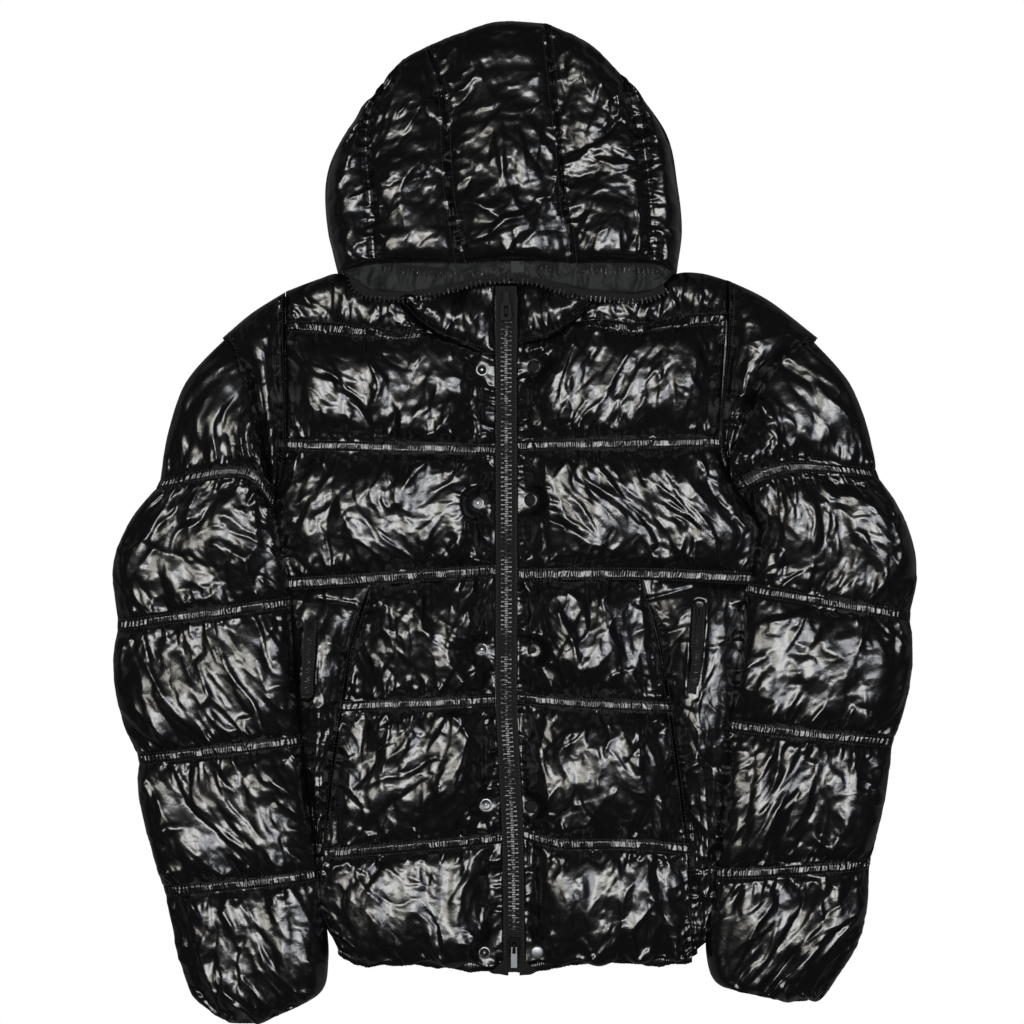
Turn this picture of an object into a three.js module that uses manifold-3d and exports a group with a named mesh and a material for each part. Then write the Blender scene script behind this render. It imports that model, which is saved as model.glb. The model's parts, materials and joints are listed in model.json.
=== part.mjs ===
// A hooded puffer jacket laid flat on its back, front zip closed, in millimetres.
// X runs across the jacket, Y from hem to hood, Z up from the surface it lies on.
// R and L are the wearer's right and left; the right side has negative X.
import * as THREE from "three";
import { mergeVertices } from "three/addons/utils/BufferGeometryUtils.js";
import Module from "manifold-3d";

const manifold = await Module();
manifold.setup();

// Thicknesses of the padded layers.
const BACK_TOP = 30; // top of the layers that lie on the surface
const LAYER_GAP = 0.3; // between layers that lie on each other
const FRONT_LOW = BACK_TOP + LAYER_GAP; // underside of the front layers
const SLEEVE_MID = 34; // height at which the two halves of a sleeve meet
const SEAM_INSET = 0.3; // each cut piece stops this far short of its seam
const THIN_EDGE = 1.4; // a rounded edge where two layers meet
const SEAM_EDGE = 6; // a padded edge sewn to its neighbour
const RIB_HALF = 5; // half the width of a gathered double-stitched channel
const RIB_RISE = 2.6; // its rise above the two stitch lines
const GATHER_DEPTH = 2; // ripples that the gathered stitching throws, up and down
const GATHER_REACH = 26; // how far the ripples run from the stitching

// The front zip.
const ZIP_HALF_GAP = 11.3; // bare tape on each side of the closed teeth
const ZIP_BAND = 25; // flat band beside the zip, where the snaps sit
const TAPE_LOW = 34.6;
const TAPE_THICK = 1.4;
const CHAIN_WIDTH = 10.6;
const CHAIN_THICK = 3.4;
const ZIP_LINE = [
  [-9, 239],
  [-8.5, -55],
  [-9, -178],
  [-5.5, -248],
  [-2, -318],
  [-1, -413],
  [-1, -452],
];

// Share of a baffle's height at which the rows of points lie.
const BAFFLE_STEPS = [0, 0.07, 0.2, 0.5, 0.8, 0.93, 1];
const COLUMNS = 14;

const MATERIALS = {
  shell: new THREE.MeshStandardMaterial({ color: 0x0b0c0c, roughness: 0.22, metalness: 0 }),
  lining: new THREE.MeshStandardMaterial({ color: 0x232627, roughness: 0.7, metalness: 0 }),
  tape: new THREE.MeshStandardMaterial({ color: 0x16181a, roughness: 0.85, metalness: 0 }),
  teeth: new THREE.MeshStandardMaterial({ color: 0x202223, roughness: 0.3, metalness: 0 }),
  elastic: new THREE.MeshStandardMaterial({ color: 0x101112, roughness: 0.8, metalness: 0 }),
  blackMetal: new THREE.MeshStandardMaterial({ color: 0x0c0c0d, roughness: 0.3, metalness: 0.8 }),
  snapMetal: new THREE.MeshStandardMaterial({ color: 0x77797a, roughness: 0.3, metalness: 1 }),
};

const jacket = new THREE.Group();
const panels = new Map(); // grid and level of each padded panel, by name

function addMesh(name, geometry, material) {
  const mesh = new THREE.Mesh(geometry, material);
  mesh.name = name;
  jacket.add(mesh);
  return mesh;
}

// X of the zip's centre line at height y.
function zipX(y) {
  const last = ZIP_LINE.length - 1;
  const next = Math.max(1, ZIP_LINE.findIndex(([, py], i) => py <= y || i === last));
  const [xa, ya] = ZIP_LINE[next - 1];
  const [xb, yb] = ZIP_LINE[next];
  return THREE.MathUtils.mapLinear(y, ya, yb, xa, xb);
}

// Smooth line through a row's control points, made once for each row.
const curves = new Map();
function curveOf(line) {
  if (!curves.has(line)) curves.set(line, smooth(line.map(([x, y]) => new THREE.Vector2(x, y))));
  return curves.get(line);
}

function smooth(points) {
  if (points.length === 2) return new THREE.LineCurve(points[0], points[1]);
  const curve = new THREE.SplineCurve(points);
  curve.arcLengthDivisions = 60;
  return curve;
}

// Point at share s of the length of a baffle that runs through several rows, at share u
// of their lengths.
function onBaffle(rows, u, s) {
  return smooth(rows.map((row) => curveOf(row.line).getPointAt(u))).getPointAt(s);
}

// A quarter circle that rises from 0 to 1 as t goes from 0 to 1.
function quarterRound(t) {
  const c = 1 - THREE.MathUtils.clamp(t, 0, 1);
  return Math.sqrt(1 - c * c);
}

// Fullness across a baffle: 0 at both stitch lines, 1 over most of the middle.
function baffleShape(s) {
  return Math.pow(1 - Math.pow(Math.abs(2 * s - 1), 2.3), 0.62);
}

// Share of a panel's width at which column i lies, closer together towards both edges.
function columnShare(i, columns) {
  const even = i / columns;
  const eased = (1 - Math.cos(Math.PI * even)) / 2;
  return 0.45 * even + 0.55 * eased;
}

// The baffles of a panel: runs of rows from one seam row to the next.
function baffles(rows) {
  const seams = rows.flatMap((row, i) => (row.guide ? [] : [i]));
  return seams.slice(1).map((end, k) => ({
    rows: rows.slice(seams[k], end + 1),
    start: rows[seams[k]],
    end: rows[end],
    crest: rows[seams[k]].crest,
    bulge: rows[seams[k]].bulge ?? [0, 0],
  }));
}

// Grid of plan points and heights over a padded panel.
// rise is the height above the panel's flat side. side gives, for each edge, its height
// [edge], the flat band before the padding [band] and how fast it swells [round].
function panelGrid({ rows, side, columns = COLUMNS, steps = BAFFLE_STEPS }) {
  const grid = [];
  const runs = baffles(rows);
  const flatBand = Math.max(0, side[1].band - 1);

  function sample(run, i, s) {
    const width = onBaffle(run.rows, 0, s).distanceTo(onBaffle(run.rows, 1, s));
    const padded = flatBand && i < columns ? 1 - flatBand / width : 1;
    const u = padded * columnShare(i, flatBand && i < columns ? columns - 1 : columns);
    const inset = Math.min(0.2, SEAM_INSET / width);
    const v = inset + (1 - 2 * inset) * u;
    const point = onBaffle(run.rows, v, s);
    const swell = Math.pow(4 * s * (1 - s), 0.7);
    run.bulge.forEach((bulge, end) => {
      if (!bulge) return;
      const a = onBaffle(run.rows, end, 0);
      const b = onBaffle(run.rows, end, 1);
      const inward = onBaffle(run.rows, 0.5, 0.5).sub(onBaffle(run.rows, end, 0.5));
      const normal = new THREE.Vector2(b.y - a.y, a.x - b.x).normalize();
      if (normal.dot(inward) > 0) normal.negate();
      const fade = Math.max(0, 1 - 2 * Math.abs(v - end));
      point.addScaledVector(normal, bulge * swell * fade);
    });
    const away = [v * width, (1 - v) * width];
    const rim = Math.min(...side.map((edge, i) => quarterRound((away[i] - edge.band) / edge.round)));
    const edgeRise = THREE.MathUtils.lerp(side[0].edge, side[1].edge, v);
    return { point, rim, edgeRise };
  }

  function addRow(run, shareOf, rise, ripple) {
    grid.push(
      Array.from({ length: columns + 1 }, (_, i) => {
        const { point, rim, edgeRise } = sample(run, i, shareOf(i / columns));
        const wave = i % 2 ? ripple : -ripple;
        return { point, rise: edgeRise + rim * (rise + wave) };
      }),
    );
  }

  runs.forEach((run, k) => {
    const length = (u) => onBaffle(run.rows, u, 0).distanceTo(onBaffle(run.rows, u, 1));
    const last = k === runs.length - 1;
    const before = run.start.rib ? RIB_HALF : k ? 0 : SEAM_INSET;
    const after = run.end.rib ? (last ? 2 * RIB_HALF : RIB_HALF) : last ? SEAM_INSET : 0;
    steps.forEach((step, i) => {
      if (k && !run.start.rib && i === 0) return;
      const shareOf = (u) => {
        const whole = Math.max(length(u), before + after + 1);
        return (before + step * (whole - before - after)) / whole;
      };
      const base = THREE.MathUtils.lerp(run.start.rise, run.end.rise, step);
      const rise = base + (run.crest - base) * baffleShape(step);
      const fromSeam = Math.min(step, 1 - step) * length(0.5);
      const gathered = step > 0 && step < 1 && (run.start.rib || run.end.rib);
      addRow(run, shareOf, rise, gathered ? GATHER_DEPTH * Math.exp(-fromSeam / GATHER_REACH) : 0);
    });
    if (!run.end.rib) return;
    const ribShare = (u) => 1 - (last ? RIB_HALF : 0) / length(u);
    addRow(run, ribShare, run.end.rise + RIB_RISE, 0);
    if (last) addRow(run, (u) => 1 - SEAM_INSET / length(u), run.end.rise, 0);
  });
  return grid;
}

// Closed body between a grid of heights and the flat plane at level: the grid lies above
// the plane where up is 1, and below it where up is -1, never under the surface z = 0.
function slab(grid, level, up) {
  const rows = grid.length;
  const cols = grid[0].length;
  const flat = grid.flat();
  const plan = [];
  const loop = [];
  for (let c = 0; c < cols; c++) loop.push(c);
  for (let r = 1; r < rows; r++) loop.push(r * cols + cols - 1);
  for (let c = cols - 2; c >= 0; c--) loop.push((rows - 1) * cols + c);
  for (let r = rows - 2; r > 0; r--) loop.push(r * cols);
  flat.forEach(({ point, rise }) => plan.push(point.x, point.y, Math.max(0, level + up * rise)));
  loop.forEach((i) => plan.push(flat[i].point.x, flat[i].point.y, level));
  const outline = loop.map((i) => flat[i].point);
  const forward = THREE.ShapeUtils.isClockWise(outline) ? -1 : 1;
  const keep = forward * up > 0;
  const faces = [];
  const face = (a, b, c) => faces.push(...(keep ? [a, b, c] : [a, c, b]));
  for (let r = 0; r < rows - 1; r++) {
    for (let c = 0; c < cols - 1; c++) {
      const i = r * cols + c;
      face(i, i + 1, i + cols + 1);
      face(i, i + cols + 1, i + cols);
    }
  }
  const first = flat.length;
  loop.forEach((i, k) => {
    const next = (k + 1) % loop.length;
    face(i, first + k, first + next);
    face(i, first + next, loop[next]);
  });
  // triangulateShape turns a clockwise outline round, so its faces always wind one way
  const cap = THREE.ShapeUtils.triangulateShape(outline, []);
  cap.forEach(([a, b, c]) => {
    const area = (outline[b].x - outline[a].x) * (outline[c].y - outline[a].y)
      - (outline[c].x - outline[a].x) * (outline[b].y - outline[a].y);
    const down = (area > 0) === (up > 0);
    faces.push(...(down ? [first + a, first + c, first + b] : [first + a, first + b, first + c]));
  });
  const geometry = new THREE.BufferGeometry();
  geometry.setAttribute("position", new THREE.Float32BufferAttribute(plan, 3));
  geometry.setIndex(faces);
  geometry.computeVertexNormals();
  return geometry;
}

// How a panel's edge behaves: a rounded edge, a seam, the band beside the zip.
const ROUNDED = { edge: THIN_EDGE, band: 0, round: 34 };
const SEAMED = { edge: SEAM_EDGE, band: 0, round: 26 };
const AT_ZIP = { edge: SEAM_EDGE + 1, band: ZIP_BAND, round: 44 };
const AT_OPENING = { edge: 22, band: 0, round: 30 };

// Height of the padding above the seams, for each kind of row.
const QUILTED = 5; // at a stitched channel
const SEWN = 1; // at a plain seam
const OPEN_END = 0; // at an outer edge

function addPanel(name, spec, material = MATERIALS.shell) {
  const { level = FRONT_LOW, up = 1 } = spec;
  const grid = panelGrid(spec);
  panels.set(name, { grid, level });
  addMesh(name, slab(grid, level, up), material);
}

// Points that more than one piece shares.
const NECK = [
  [-174, 249], [-146, 232], [-116, 228.5], [-85, 231], [-52, 236], [-20, 241], [3, 241],
  [33, 238], [60, 232.5], [90, 229], [120, 228.5], [143, 234], [160, 249],
];
const ARMHOLE = {
  R: [[-292, 184], [-271.5, 146], [-258.5, 97], [-252, 56], [-243, 20]],
  L: [[303, 181], [277, 165], [256, 143], [236, 98], [220, 62], [223, 36]],
};

// Y of the neck line at x.
function neckY(x) {
  const next = Math.max(1, NECK.findIndex(([px], i) => px >= x || i === NECK.length - 1));
  const [xa, ya] = NECK[next - 1];
  const [xb, yb] = NECK[next];
  return THREE.MathUtils.mapLinear(x, xa, xb, ya, yb);
}

// Row that follows the neck line through the given places.
function neckRow(places) {
  return places.map((x) => [x, neckY(x)]);
}

// End of a row at the zip's edge, on the side that sign gives, at height y.
function zipEdge(sign, y) {
  return [zipX(y) + sign * ZIP_HALF_GAP, y];
}

// The quilted fronts above the waist channel.
function buildUpperFronts() {
  addPanel("front_upper_R", {
    side: [SEAMED, AT_ZIP],
    rows: [
      {
        line: [[-229, 196], [-175, 191], [-115, 186], [-86, 187.6], [-50, 174], zipEdge(-1, 165)],
        rise: SEWN,
        crest: 31,
      },
      { line: [[-227, 77], zipEdge(-1, 72)], rise: QUILTED, rib: true, crest: 32 },
      { line: [[-233, 46], zipEdge(-1, 44)], guide: true },
      { line: [[-240, 14], zipEdge(-1, 13)], guide: true },
      { line: [[-231, -38], zipEdge(-1, -30)], guide: true },
      { line: [[-226, -66], [-143, -61], zipEdge(-1, -53)], rise: QUILTED, rib: true },
    ],
  });
  addPanel("front_upper_L", {
    side: [SEAMED, AT_ZIP],
    rows: [
      {
        line: [[210.5, 203], [162, 198], [116, 193], [64, 199.4], [38, 184], zipEdge(1, 176)],
        rise: SEWN,
        crest: 31,
      },
      { line: [[203, 80], zipEdge(1, 76)], rise: QUILTED, rib: true, crest: 32 },
      { line: [[211, 50], zipEdge(1, 47)], guide: true },
      { line: [[223.5, 27], zipEdge(1, 25)], guide: true },
      { line: [[247, -8], zipEdge(1, -9)], guide: true },
      { line: [[244, -38], zipEdge(1, -36)], guide: true },
      { line: [[239, -61], [128, -56], zipEdge(1, -57)], rise: QUILTED, rib: true },
    ],
  });
}

// The quilted fronts below the waist channel, down to the hem.
function buildLowerFronts() {
  addPanel("front_lower_R", {
    side: [SEAMED, AT_ZIP],
    rows: [
      { line: [[-143, -61.6], zipEdge(-1, -53.6)], rise: SEWN, crest: 33 },
      { line: [[-160.5, -118], zipEdge(-1, -115)], guide: true },
      { line: [[-172, -184], zipEdge(-1, -178)], rise: QUILTED, rib: true, crest: 33 },
      { line: [[-183.5, -260], zipEdge(-1, -248)], guide: true },
      { line: [[-190, -331], zipEdge(-1, -316)], rise: QUILTED, rib: true, crest: 28 },
      { line: [[-196, -378], zipEdge(-1, -378)], guide: true },
      { line: [[-177, -424], [-152, -434], [-111, -433], [-47, -439], zipEdge(-1, -442)], rise: SEWN },
    ],
  });
  addPanel("front_lower_L", {
    side: [SEAMED, AT_ZIP],
    rows: [
      { line: [[127, -56.8], zipEdge(1, -57.6)], rise: SEWN, crest: 33 },
      { line: [[142, -118], zipEdge(1, -115)], guide: true },
      { line: [[154, -185], [69, -181], zipEdge(1, -176)], rise: QUILTED, rib: true, crest: 33 },
      { line: [[165, -268], [90, -262], zipEdge(1, -248)], guide: true },
      { line: [[172, -326], [112, -321], [46, -321], zipEdge(1, -312)], rise: QUILTED, rib: true, crest: 28 },
      { line: [[177, -430], [150, -434], [111, -431], [58, -434], zipEdge(1, -441)], rise: SEWN },
    ],
  });
}

// Side panels, between the curved front seam and the side, which hold the zipped pockets.
function buildSidePanels() {
  addPanel("side_panel_R", {
    side: [ROUNDED, SEAMED],
    columns: 10,
    steps: [0, 0.06, 0.2, 0.4, 0.6, 0.8, 0.93, 1],
    rows: [
      { line: [[-225.5, -66.8], [-144, -62]], rise: SEWN, crest: 22 },
      { line: [[-222, -118], [-161.8, -118]], guide: true },
      { line: [[-217, -184], [-173.2, -184.5]], guide: true },
      { line: [[-208.5, -262], [-184.6, -260]], guide: true },
      { line: [[-200.5, -335], [-191.6, -333]], rise: SEWN },
    ],
  });
  addPanel("side_panel_L", {
    side: [ROUNDED, SEAMED],
    columns: 10,
    steps: [0, 0.06, 0.2, 0.4, 0.6, 0.8, 0.93, 1],
    rows: [
      { line: [[238.5, -61.8], [128, -57]], rise: SEWN, crest: 22 },
      { line: [[232, -118], [143.5, -118]], guide: true },
      { line: [[222, -190], [155.5, -190]], guide: true },
      { line: [[214, -270], [166, -270]], guide: true },
      { line: [[207.5, -340], [173.5, -335]], guide: true },
      { line: [[198, -414], [177.5, -429]], rise: SEWN },
    ],
  });
}

// Plain panels between the quilted front and the armhole.
function buildArmholePanels() {
  const steps = [0, 0.08, 0.25, 0.5, 0.75, 0.92, 1];
  addPanel("armhole_panel_R", {
    side: [SEAMED, SEAMED],
    columns: 8,
    steps,
    rows: [
      { line: [[-291, 183], [-263, 207], [-230, 228]], rise: OPEN_END, crest: 24 },
      { line: [[-271, 146], [-230, 178]], guide: true },
      { line: [[-258, 97], [-229, 122]], guide: true },
      { line: [[-251.5, 56], [-228.6, 76]], guide: true },
      { line: [[-243, 22], [-239.2, 20]], rise: SEWN },
    ],
  });
  addPanel("armhole_panel_L", {
    side: [SEAMED, SEAMED],
    columns: 8,
    steps,
    rows: [
      { line: [[301, 183], [253, 220], [212.5, 240]], rise: OPEN_END, crest: 24 },
      { line: [[276.5, 165], [212, 186]], guide: true },
      { line: [[255.5, 143], [210, 155]], guide: true },
      { line: [[235.5, 98], [206.5, 112]], guide: true },
      { line: [[219.5, 62], [206, 74]], guide: true },
      { line: [[222, 38], [219, 40]], rise: SEWN },
    ],
  });
}

// Yokes over the shoulders, and the collar pieces between neck seam and zip.
function buildYokesAndCollars() {
  const steps = [0, 0.12, 0.4, 0.7, 0.9, 1];
  addPanel("yoke_R", {
    side: [SEAMED, SEAMED],
    steps,
    rows: [
      {
        line: [
          [-228.5, 229], [-197, 241], [-174, 246.5], [-146, neckY(-146) - 0.6], [-124, 226.5],
          [-88, 191],
        ],
        rise: OPEN_END,
        crest: 12,
      },
      {
        line: [[-228.5, 196.6], [-197, 193.8], [-172, 191.4], [-146, 189], [-118, 187.2], [-88, 188.8]],
        rise: SEWN,
      },
    ],
  });
  addPanel("yoke_L", {
    side: [SEAMED, SEAMED],
    steps,
    rows: [
      {
        line: [
          [211.6, 240], [186, 247], [161, 246.5], [140, neckY(140) - 0.8], [118, 227],
          [84, 226], [66, 203],
        ],
        rise: OPEN_END,
        crest: 12,
      },
      {
        line: [
          [211.6, 203.6], [186, 201.2], [161, 198.6], [134, 195.4], [110, 195], [88, 198.4],
          [66.4, 200.4],
        ],
        rise: SEWN,
      },
    ],
  });
  addPanel("collar_R", {
    side: [SEAMED, { ...SEAMED, band: 6 }],
    columns: 8,
    steps,
    rows: [
      { line: neckRow([-122.2, -85, -52, -20.6]).map(([x, y]) => [x, y - 0.4]), rise: OPEN_END, crest: 12 },
      { line: [[-122.4, 227.6], [-86, 192.2], [-50, 175], zipEdge(-1, 166)], rise: SEWN },
    ],
  });
  addPanel("collar_L", {
    side: [SEAMED, { ...SEAMED, band: 6 }],
    columns: 8,
    steps,
    rows: [
      { line: neckRow([83, 60, 33, 2.6]), rise: OPEN_END, crest: 12 },
      { line: [[82, 227.2], [63.8, 204.4], [36, 185.6], zipEdge(1, 177)], rise: SEWN },
    ],
  });
}

// Rows of the sleeves, from the armhole to the cuff seam; each runs from outer to inner edge.
const SLEEVE_ROWS = {
  R: [
    { line: ARMHOLE.R.map(([x, y]) => [x - 0.8, y]), height: 0.35, crest: 0.96 },
    { line: [[-327, 142], [-272, 92], [-244.6, 19]], guide: true },
    { line: [[-346, 90], [-275, 70], [-245, 17.5]], guide: true },
    { line: [[-355, 37], [-268, 50], [-245.5, 16]], height: 0.55, rib: true, crest: 1 },
    { line: [[-383, 2], [-241, 0]], guide: true },
    { line: [[-401, -45], [-233, -38]], guide: true },
    { line: [[-396, -103], [-230.5, -80]], height: 0.5, rib: true, crest: 1 },
    { line: [[-401, -142], [-225, -140]], guide: true },
    { line: [[-392, -196], [-222, -182]], guide: true },
    { line: [[-375, -236], [-219, -217]], height: 0.5, rib: true, crest: 0.97 },
    { line: [[-374, -280], [-212, -282]], guide: true },
    { line: [[-350, -367], [-202, -351]], height: 0.5, rib: true, crest: 0.94 },
    { line: [[-341, -405], [-195.5, -400]], guide: true },
    { line: [[-334, -438], [-193.5, -437]], guide: true },
    { line: [[-320, -474], [-204, -472]], guide: true },
    { line: [[-288, -492], [-250, -492]], height: 0.25 },
  ],
  L: [
    { line: ARMHOLE.L.map(([x, y]) => [x + 3, y]), height: 0.35, crest: 0.96 },
    { line: [[333, 140], [284, 122], [227, 35.4]], guide: true },
    { line: [[353, 90], [282, 88], [228, 34.8]], guide: true },
    { line: [[361, 47], [272, 54], [229, 34]], height: 0.55, rib: true, crest: 1 },
    { line: [[388, 4], [254, -4]], guide: true },
    { line: [[401, -45], [248, -42]], guide: true },
    { line: [[394, -94], [241, -66]], height: 0.5, rib: true, crest: 1 },
    { line: [[396.5, -136], [233, -132]], guide: true },
    { line: [[389, -184], [227, -172]], guide: true },
    { line: [[377, -219], [223, -202]], height: 0.5, rib: true, crest: 0.97 },
    { line: [[369, -276], [217.5, -275]], guide: true },
    { line: [[354, -340], [211, -350]], height: 0.5, rib: true, crest: 0.94 },
    { line: [[351, -385], [205, -390]], guide: true },
    { line: [[341, -422], [202, -430]], guide: true },
    { line: [[320, -457], [214, -462]], guide: true },
    { line: [[294, -472], [263, -472]], height: 0.25 },
  ],
};

// Each sleeve is an upper and an under half that lie on each other.
function buildSleeves() {
  const topRise = 41;
  const underRise = 36;
  const edge = { edge: THIN_EDGE, band: 0, round: 44 };
  for (const [side, rows] of Object.entries(SLEEVE_ROWS)) {
    const scaled = (rise) =>
      rows.map((row) => ({ ...row, rise: rise * (row.height ?? 0), crest: rise * (row.crest ?? 0) }));
    addPanel("sleeve_top_" + side, {
      side: [edge, edge],
      rows: scaled(topRise),
      level: SLEEVE_MID + LAYER_GAP,
    });
    addPanel("sleeve_under_" + side, {
      side: [edge, edge],
      rows: scaled(underRise),
      level: SLEEVE_MID,
      up: -1,
      columns: 8,
      steps: [0, 0.12, 0.4, 0.6, 0.88, 1],
    });
  }
}

// The hood's seams, from the opening's edge up to the crown.
const HOOD_SEAMS = {
  edgeR: [[-174, 252], [-186, 290], [-188, 342], [-172, 384], [-134, 437]],
  sideR: [[-139, 260], [-144, 327], [-148, 372], [-145, 405], [-131, 440]],
  centreR: [[-54, 260], [-65, 323], [-68, 367], [-72, 427], [-88, 476]],
  crown: [[-2, 265], [-8, 330], [-13, 385], [-17, 445], [-22, 499.5]],
  centreL: [[57, 260], [49, 322], [44, 376], [37, 437], [31, 499]],
  sideL: [[138, 260], [135, 306], [130, 357], [121, 407], [105, 449]],
  edgeL: [[160, 252], [166, 290], [162, 335], [150, 390], [110, 445]],
};

// The hood: three cut pieces on top, and one rounded layer under them.
function buildHood() {
  const { edgeR, sideR, centreR, crown, centreL, sideL, edgeL } = HOOD_SEAMS;
  const top = { edge: THIN_EDGE, band: 0, round: 46 };
  const common = { side: [AT_OPENING, top], steps: [0, 0.1, 0.28, 0.5, 0.72, 0.9, 1] };
  addPanel("hood_side_R", {
    ...common,
    rows: [
      { line: edgeR, rise: OPEN_END, crest: 24 },
      { line: sideR, rise: 12, crest: 30, bulge: [0, 5] },
      { line: centreR, rise: 14 },
    ],
  });
  addPanel("hood_centre", {
    ...common,
    rows: [
      { line: centreR, rise: 14, crest: 32, bulge: [0, 3] },
      { line: crown, guide: true },
      { line: centreL, rise: 14 },
    ],
  });
  addPanel("hood_side_L", {
    ...common,
    rows: [
      { line: centreL, rise: 14, crest: 30, bulge: [0, 7] },
      { line: sideL, rise: 12, crest: 24 },
      { line: edgeL, rise: OPEN_END },
    ],
  });
  const low = (line, y) => [[line[0][0], y], ...line.slice(1)];
  const seam = 237;
  addPanel("hood_back", {
    level: BACK_TOP,
    up: -1,
    columns: 12,
    side: [{ edge: BACK_TOP, band: 0, round: 1 }, top],
    steps: [0, 0.15, 0.5, 0.85, 1],
    rows: [
      { line: low(edgeR, seam), rise: OPEN_END, crest: 34 },
      { line: low(sideR, seam), rise: 34, crest: 34, bulge: [0, 5] },
      { line: low(centreR, seam), rise: 34, crest: 34, bulge: [0, 3] },
      { line: low(crown, seam), guide: true },
      { line: low(centreL, seam), rise: 34, crest: 34, bulge: [0, 7] },
      { line: low(sideL, seam), rise: 34, crest: 34 },
      { line: low(edgeL, seam), rise: OPEN_END },
    ],
  });
}

// The back, one padded layer on the surface from the shoulders to the hem.
function buildBack() {
  const edge = { edge: THIN_EDGE, band: 0, round: 34 };
  addPanel("back", {
    level: BACK_TOP,
    up: -1,
    side: [edge, edge],
    columns: 12,
    steps: [0, 0.03, 0.08, 0.16, 0.26, 0.36, 0.46, 0.56, 0.66, 0.76, 0.86, 0.93, 0.97, 1],
    rows: [
      {
        line: [[-291, 183], [-243, 221], [-174, 236], [-8, 236], [159, 236], [250, 221], [301, 182]],
        rise: 12,
        crest: 34,
      },
      { line: [[-271, 146], [274.5, 163.5]], guide: true },
      { line: [[-265, 122], [253, 141]], guide: true },
      { line: [[-258, 97], [234, 97.5]], guide: true },
      { line: [[-251.5, 56], [216, 60]], guide: true },
      { line: [[-241, 16], [224, 24]], guide: true },
      { line: [[-231, -38], [247, -10]], guide: true },
      { line: [[-226, -66], [239, -61]], guide: true },
      { line: [[-222, -118], [232, -118]], guide: true },
      { line: [[-217, -184], [222, -190]], guide: true },
      { line: [[-208.5, -262], [214, -270]], guide: true },
      { line: [[-200.5, -335], [207.5, -340]], guide: true },
      { line: [[-194, -378], [202, -385]], guide: true },
      { line: [[-188, -408], [198, -412]], guide: true },
      {
        line: [[-176, -424], [-150, -434], [-100, -434], [0, -441], [100, -433], [152, -433], [184, -424]],
        rise: 14,
      },
    ],
  });
}

// A flat strip between two offsets from a line, positive to the line's left. Each point of
// the line may have a height of its own in place of low.
function strip(line, { from, to, low, thick }) {
  const plan = line.map(([x, y]) => new THREE.Vector2(x, y));
  const left = plan.map((p, i) => {
    const ahead = plan[Math.min(i + 1, plan.length - 1)];
    const behind = plan[Math.max(i - 1, 0)];
    const along = ahead.clone().sub(behind).normalize();
    return new THREE.Vector2(-along.y, along.x);
  });
  const rings = plan.map((p, i) => {
    const a = p.clone().addScaledVector(left[i], from);
    const b = p.clone().addScaledVector(left[i], to);
    const z = line[i][2] ?? low;
    return [[a.x, a.y, z], [b.x, b.y, z], [b.x, b.y, z + thick], [a.x, a.y, z + thick]];
  });
  return ringSolid(rings);
}

function addStrip(name, line, size, material) {
  addMesh(name, strip(line, size), material);
}

// Closed body through rings of equal numbers of points, with a flat fan at each end.
// Each ring turns anticlockwise as seen looking back along the way the rings run.
function ringSolid(rings) {
  const count = rings[0].length;
  const faces = [];
  for (let r = 0; r < rings.length - 1; r++) {
    for (let c = 0; c < count; c++) {
      const a = r * count + c;
      const b = r * count + ((c + 1) % count);
      faces.push(a, b, a + count, b, b + count, a + count);
    }
  }
  const end = (rings.length - 1) * count;
  for (let c = 1; c < count - 1; c++) {
    faces.push(0, c + 1, c);
    faces.push(end, end + c, end + c + 1);
  }
  const geometry = new THREE.BufferGeometry();
  geometry.setAttribute("position", new THREE.Float32BufferAttribute(rings.flat(2), 3));
  geometry.setIndex(faces);
  geometry.computeVertexNormals();
  return geometry;
}

// The strip of lining that shows between the hood's edge and its zip.
function buildHoodLining() {
  const places = [-171, -146, -116, -85, -52, -20, 3, 33, 60, 90, 120, 143, 156];
  const top = [[-171, 249.5], [-139, 258], [-54, 259.2], [57, 259.2], [138, 258], [156, 250]];
  addPanel(
    "hood_lining",
    {
      side: [{ edge: 17, band: 0, round: 20 }, { edge: 17, band: 0, round: 20 }],
      columns: 12,
      steps: [0, 0.5, 1],
      rows: [
        { line: neckRow(places).map(([x, y]) => [x, y + 0.8]), rise: 0, crest: 1 },
        { line: top, rise: 0 },
      ],
    },
    MATERIALS.lining,
  );
}

// Zip halves round the hood's opening: teeth edge, from the wearer's right to left.
const HOOD_ZIP = {
  upper_R: [[-134, 249], [-112, 246], [-76, 243], [-40, 242], [-21, 246], [-11, 252]],
  upper_L: [[17, 252.5], [30, 249], [43, 247], [82, 246], [118, 247], [141, 247]],
  lower_R: [
    [-168, 244], [-163, 230], [-149, 221], [-130, 218], [-107, 218], [-90, 220], [-64, 227],
    [-30, 235], [-6, 236.5],
  ],
  lower_L: [[-2, 236.5], [21, 234], [46, 225], [70, 220], [89, 218], [118, 216], [137, 219], [152, 227]],
};
const HOOD_ZIP_LOW = 48.7;

function buildHoodZip() {
  for (const [part, line] of Object.entries(HOOD_ZIP)) {
    const [from, to] = part.startsWith("upper") ? [4.4, 10] : [2.4, 10.6];
    addStrip("hood_tape_" + part, line, { from, to, low: HOOD_ZIP_LOW, thick: TAPE_THICK }, MATERIALS.tape);
    addStrip(
      "hood_teeth_" + part,
      line,
      { from: 0, to: 5.4, low: HOOD_ZIP_LOW + TAPE_THICK + LAYER_GAP, thick: 2.8 },
      MATERIALS.teeth,
    );
  }
  const tab = new THREE.BoxGeometry(13, 11, 1.6);
  addMesh("hood_zip_end_tab", tab, MATERIALS.tape).position.set(2.5, 253.4, HOOD_ZIP_LOW + 0.8);
}

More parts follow.
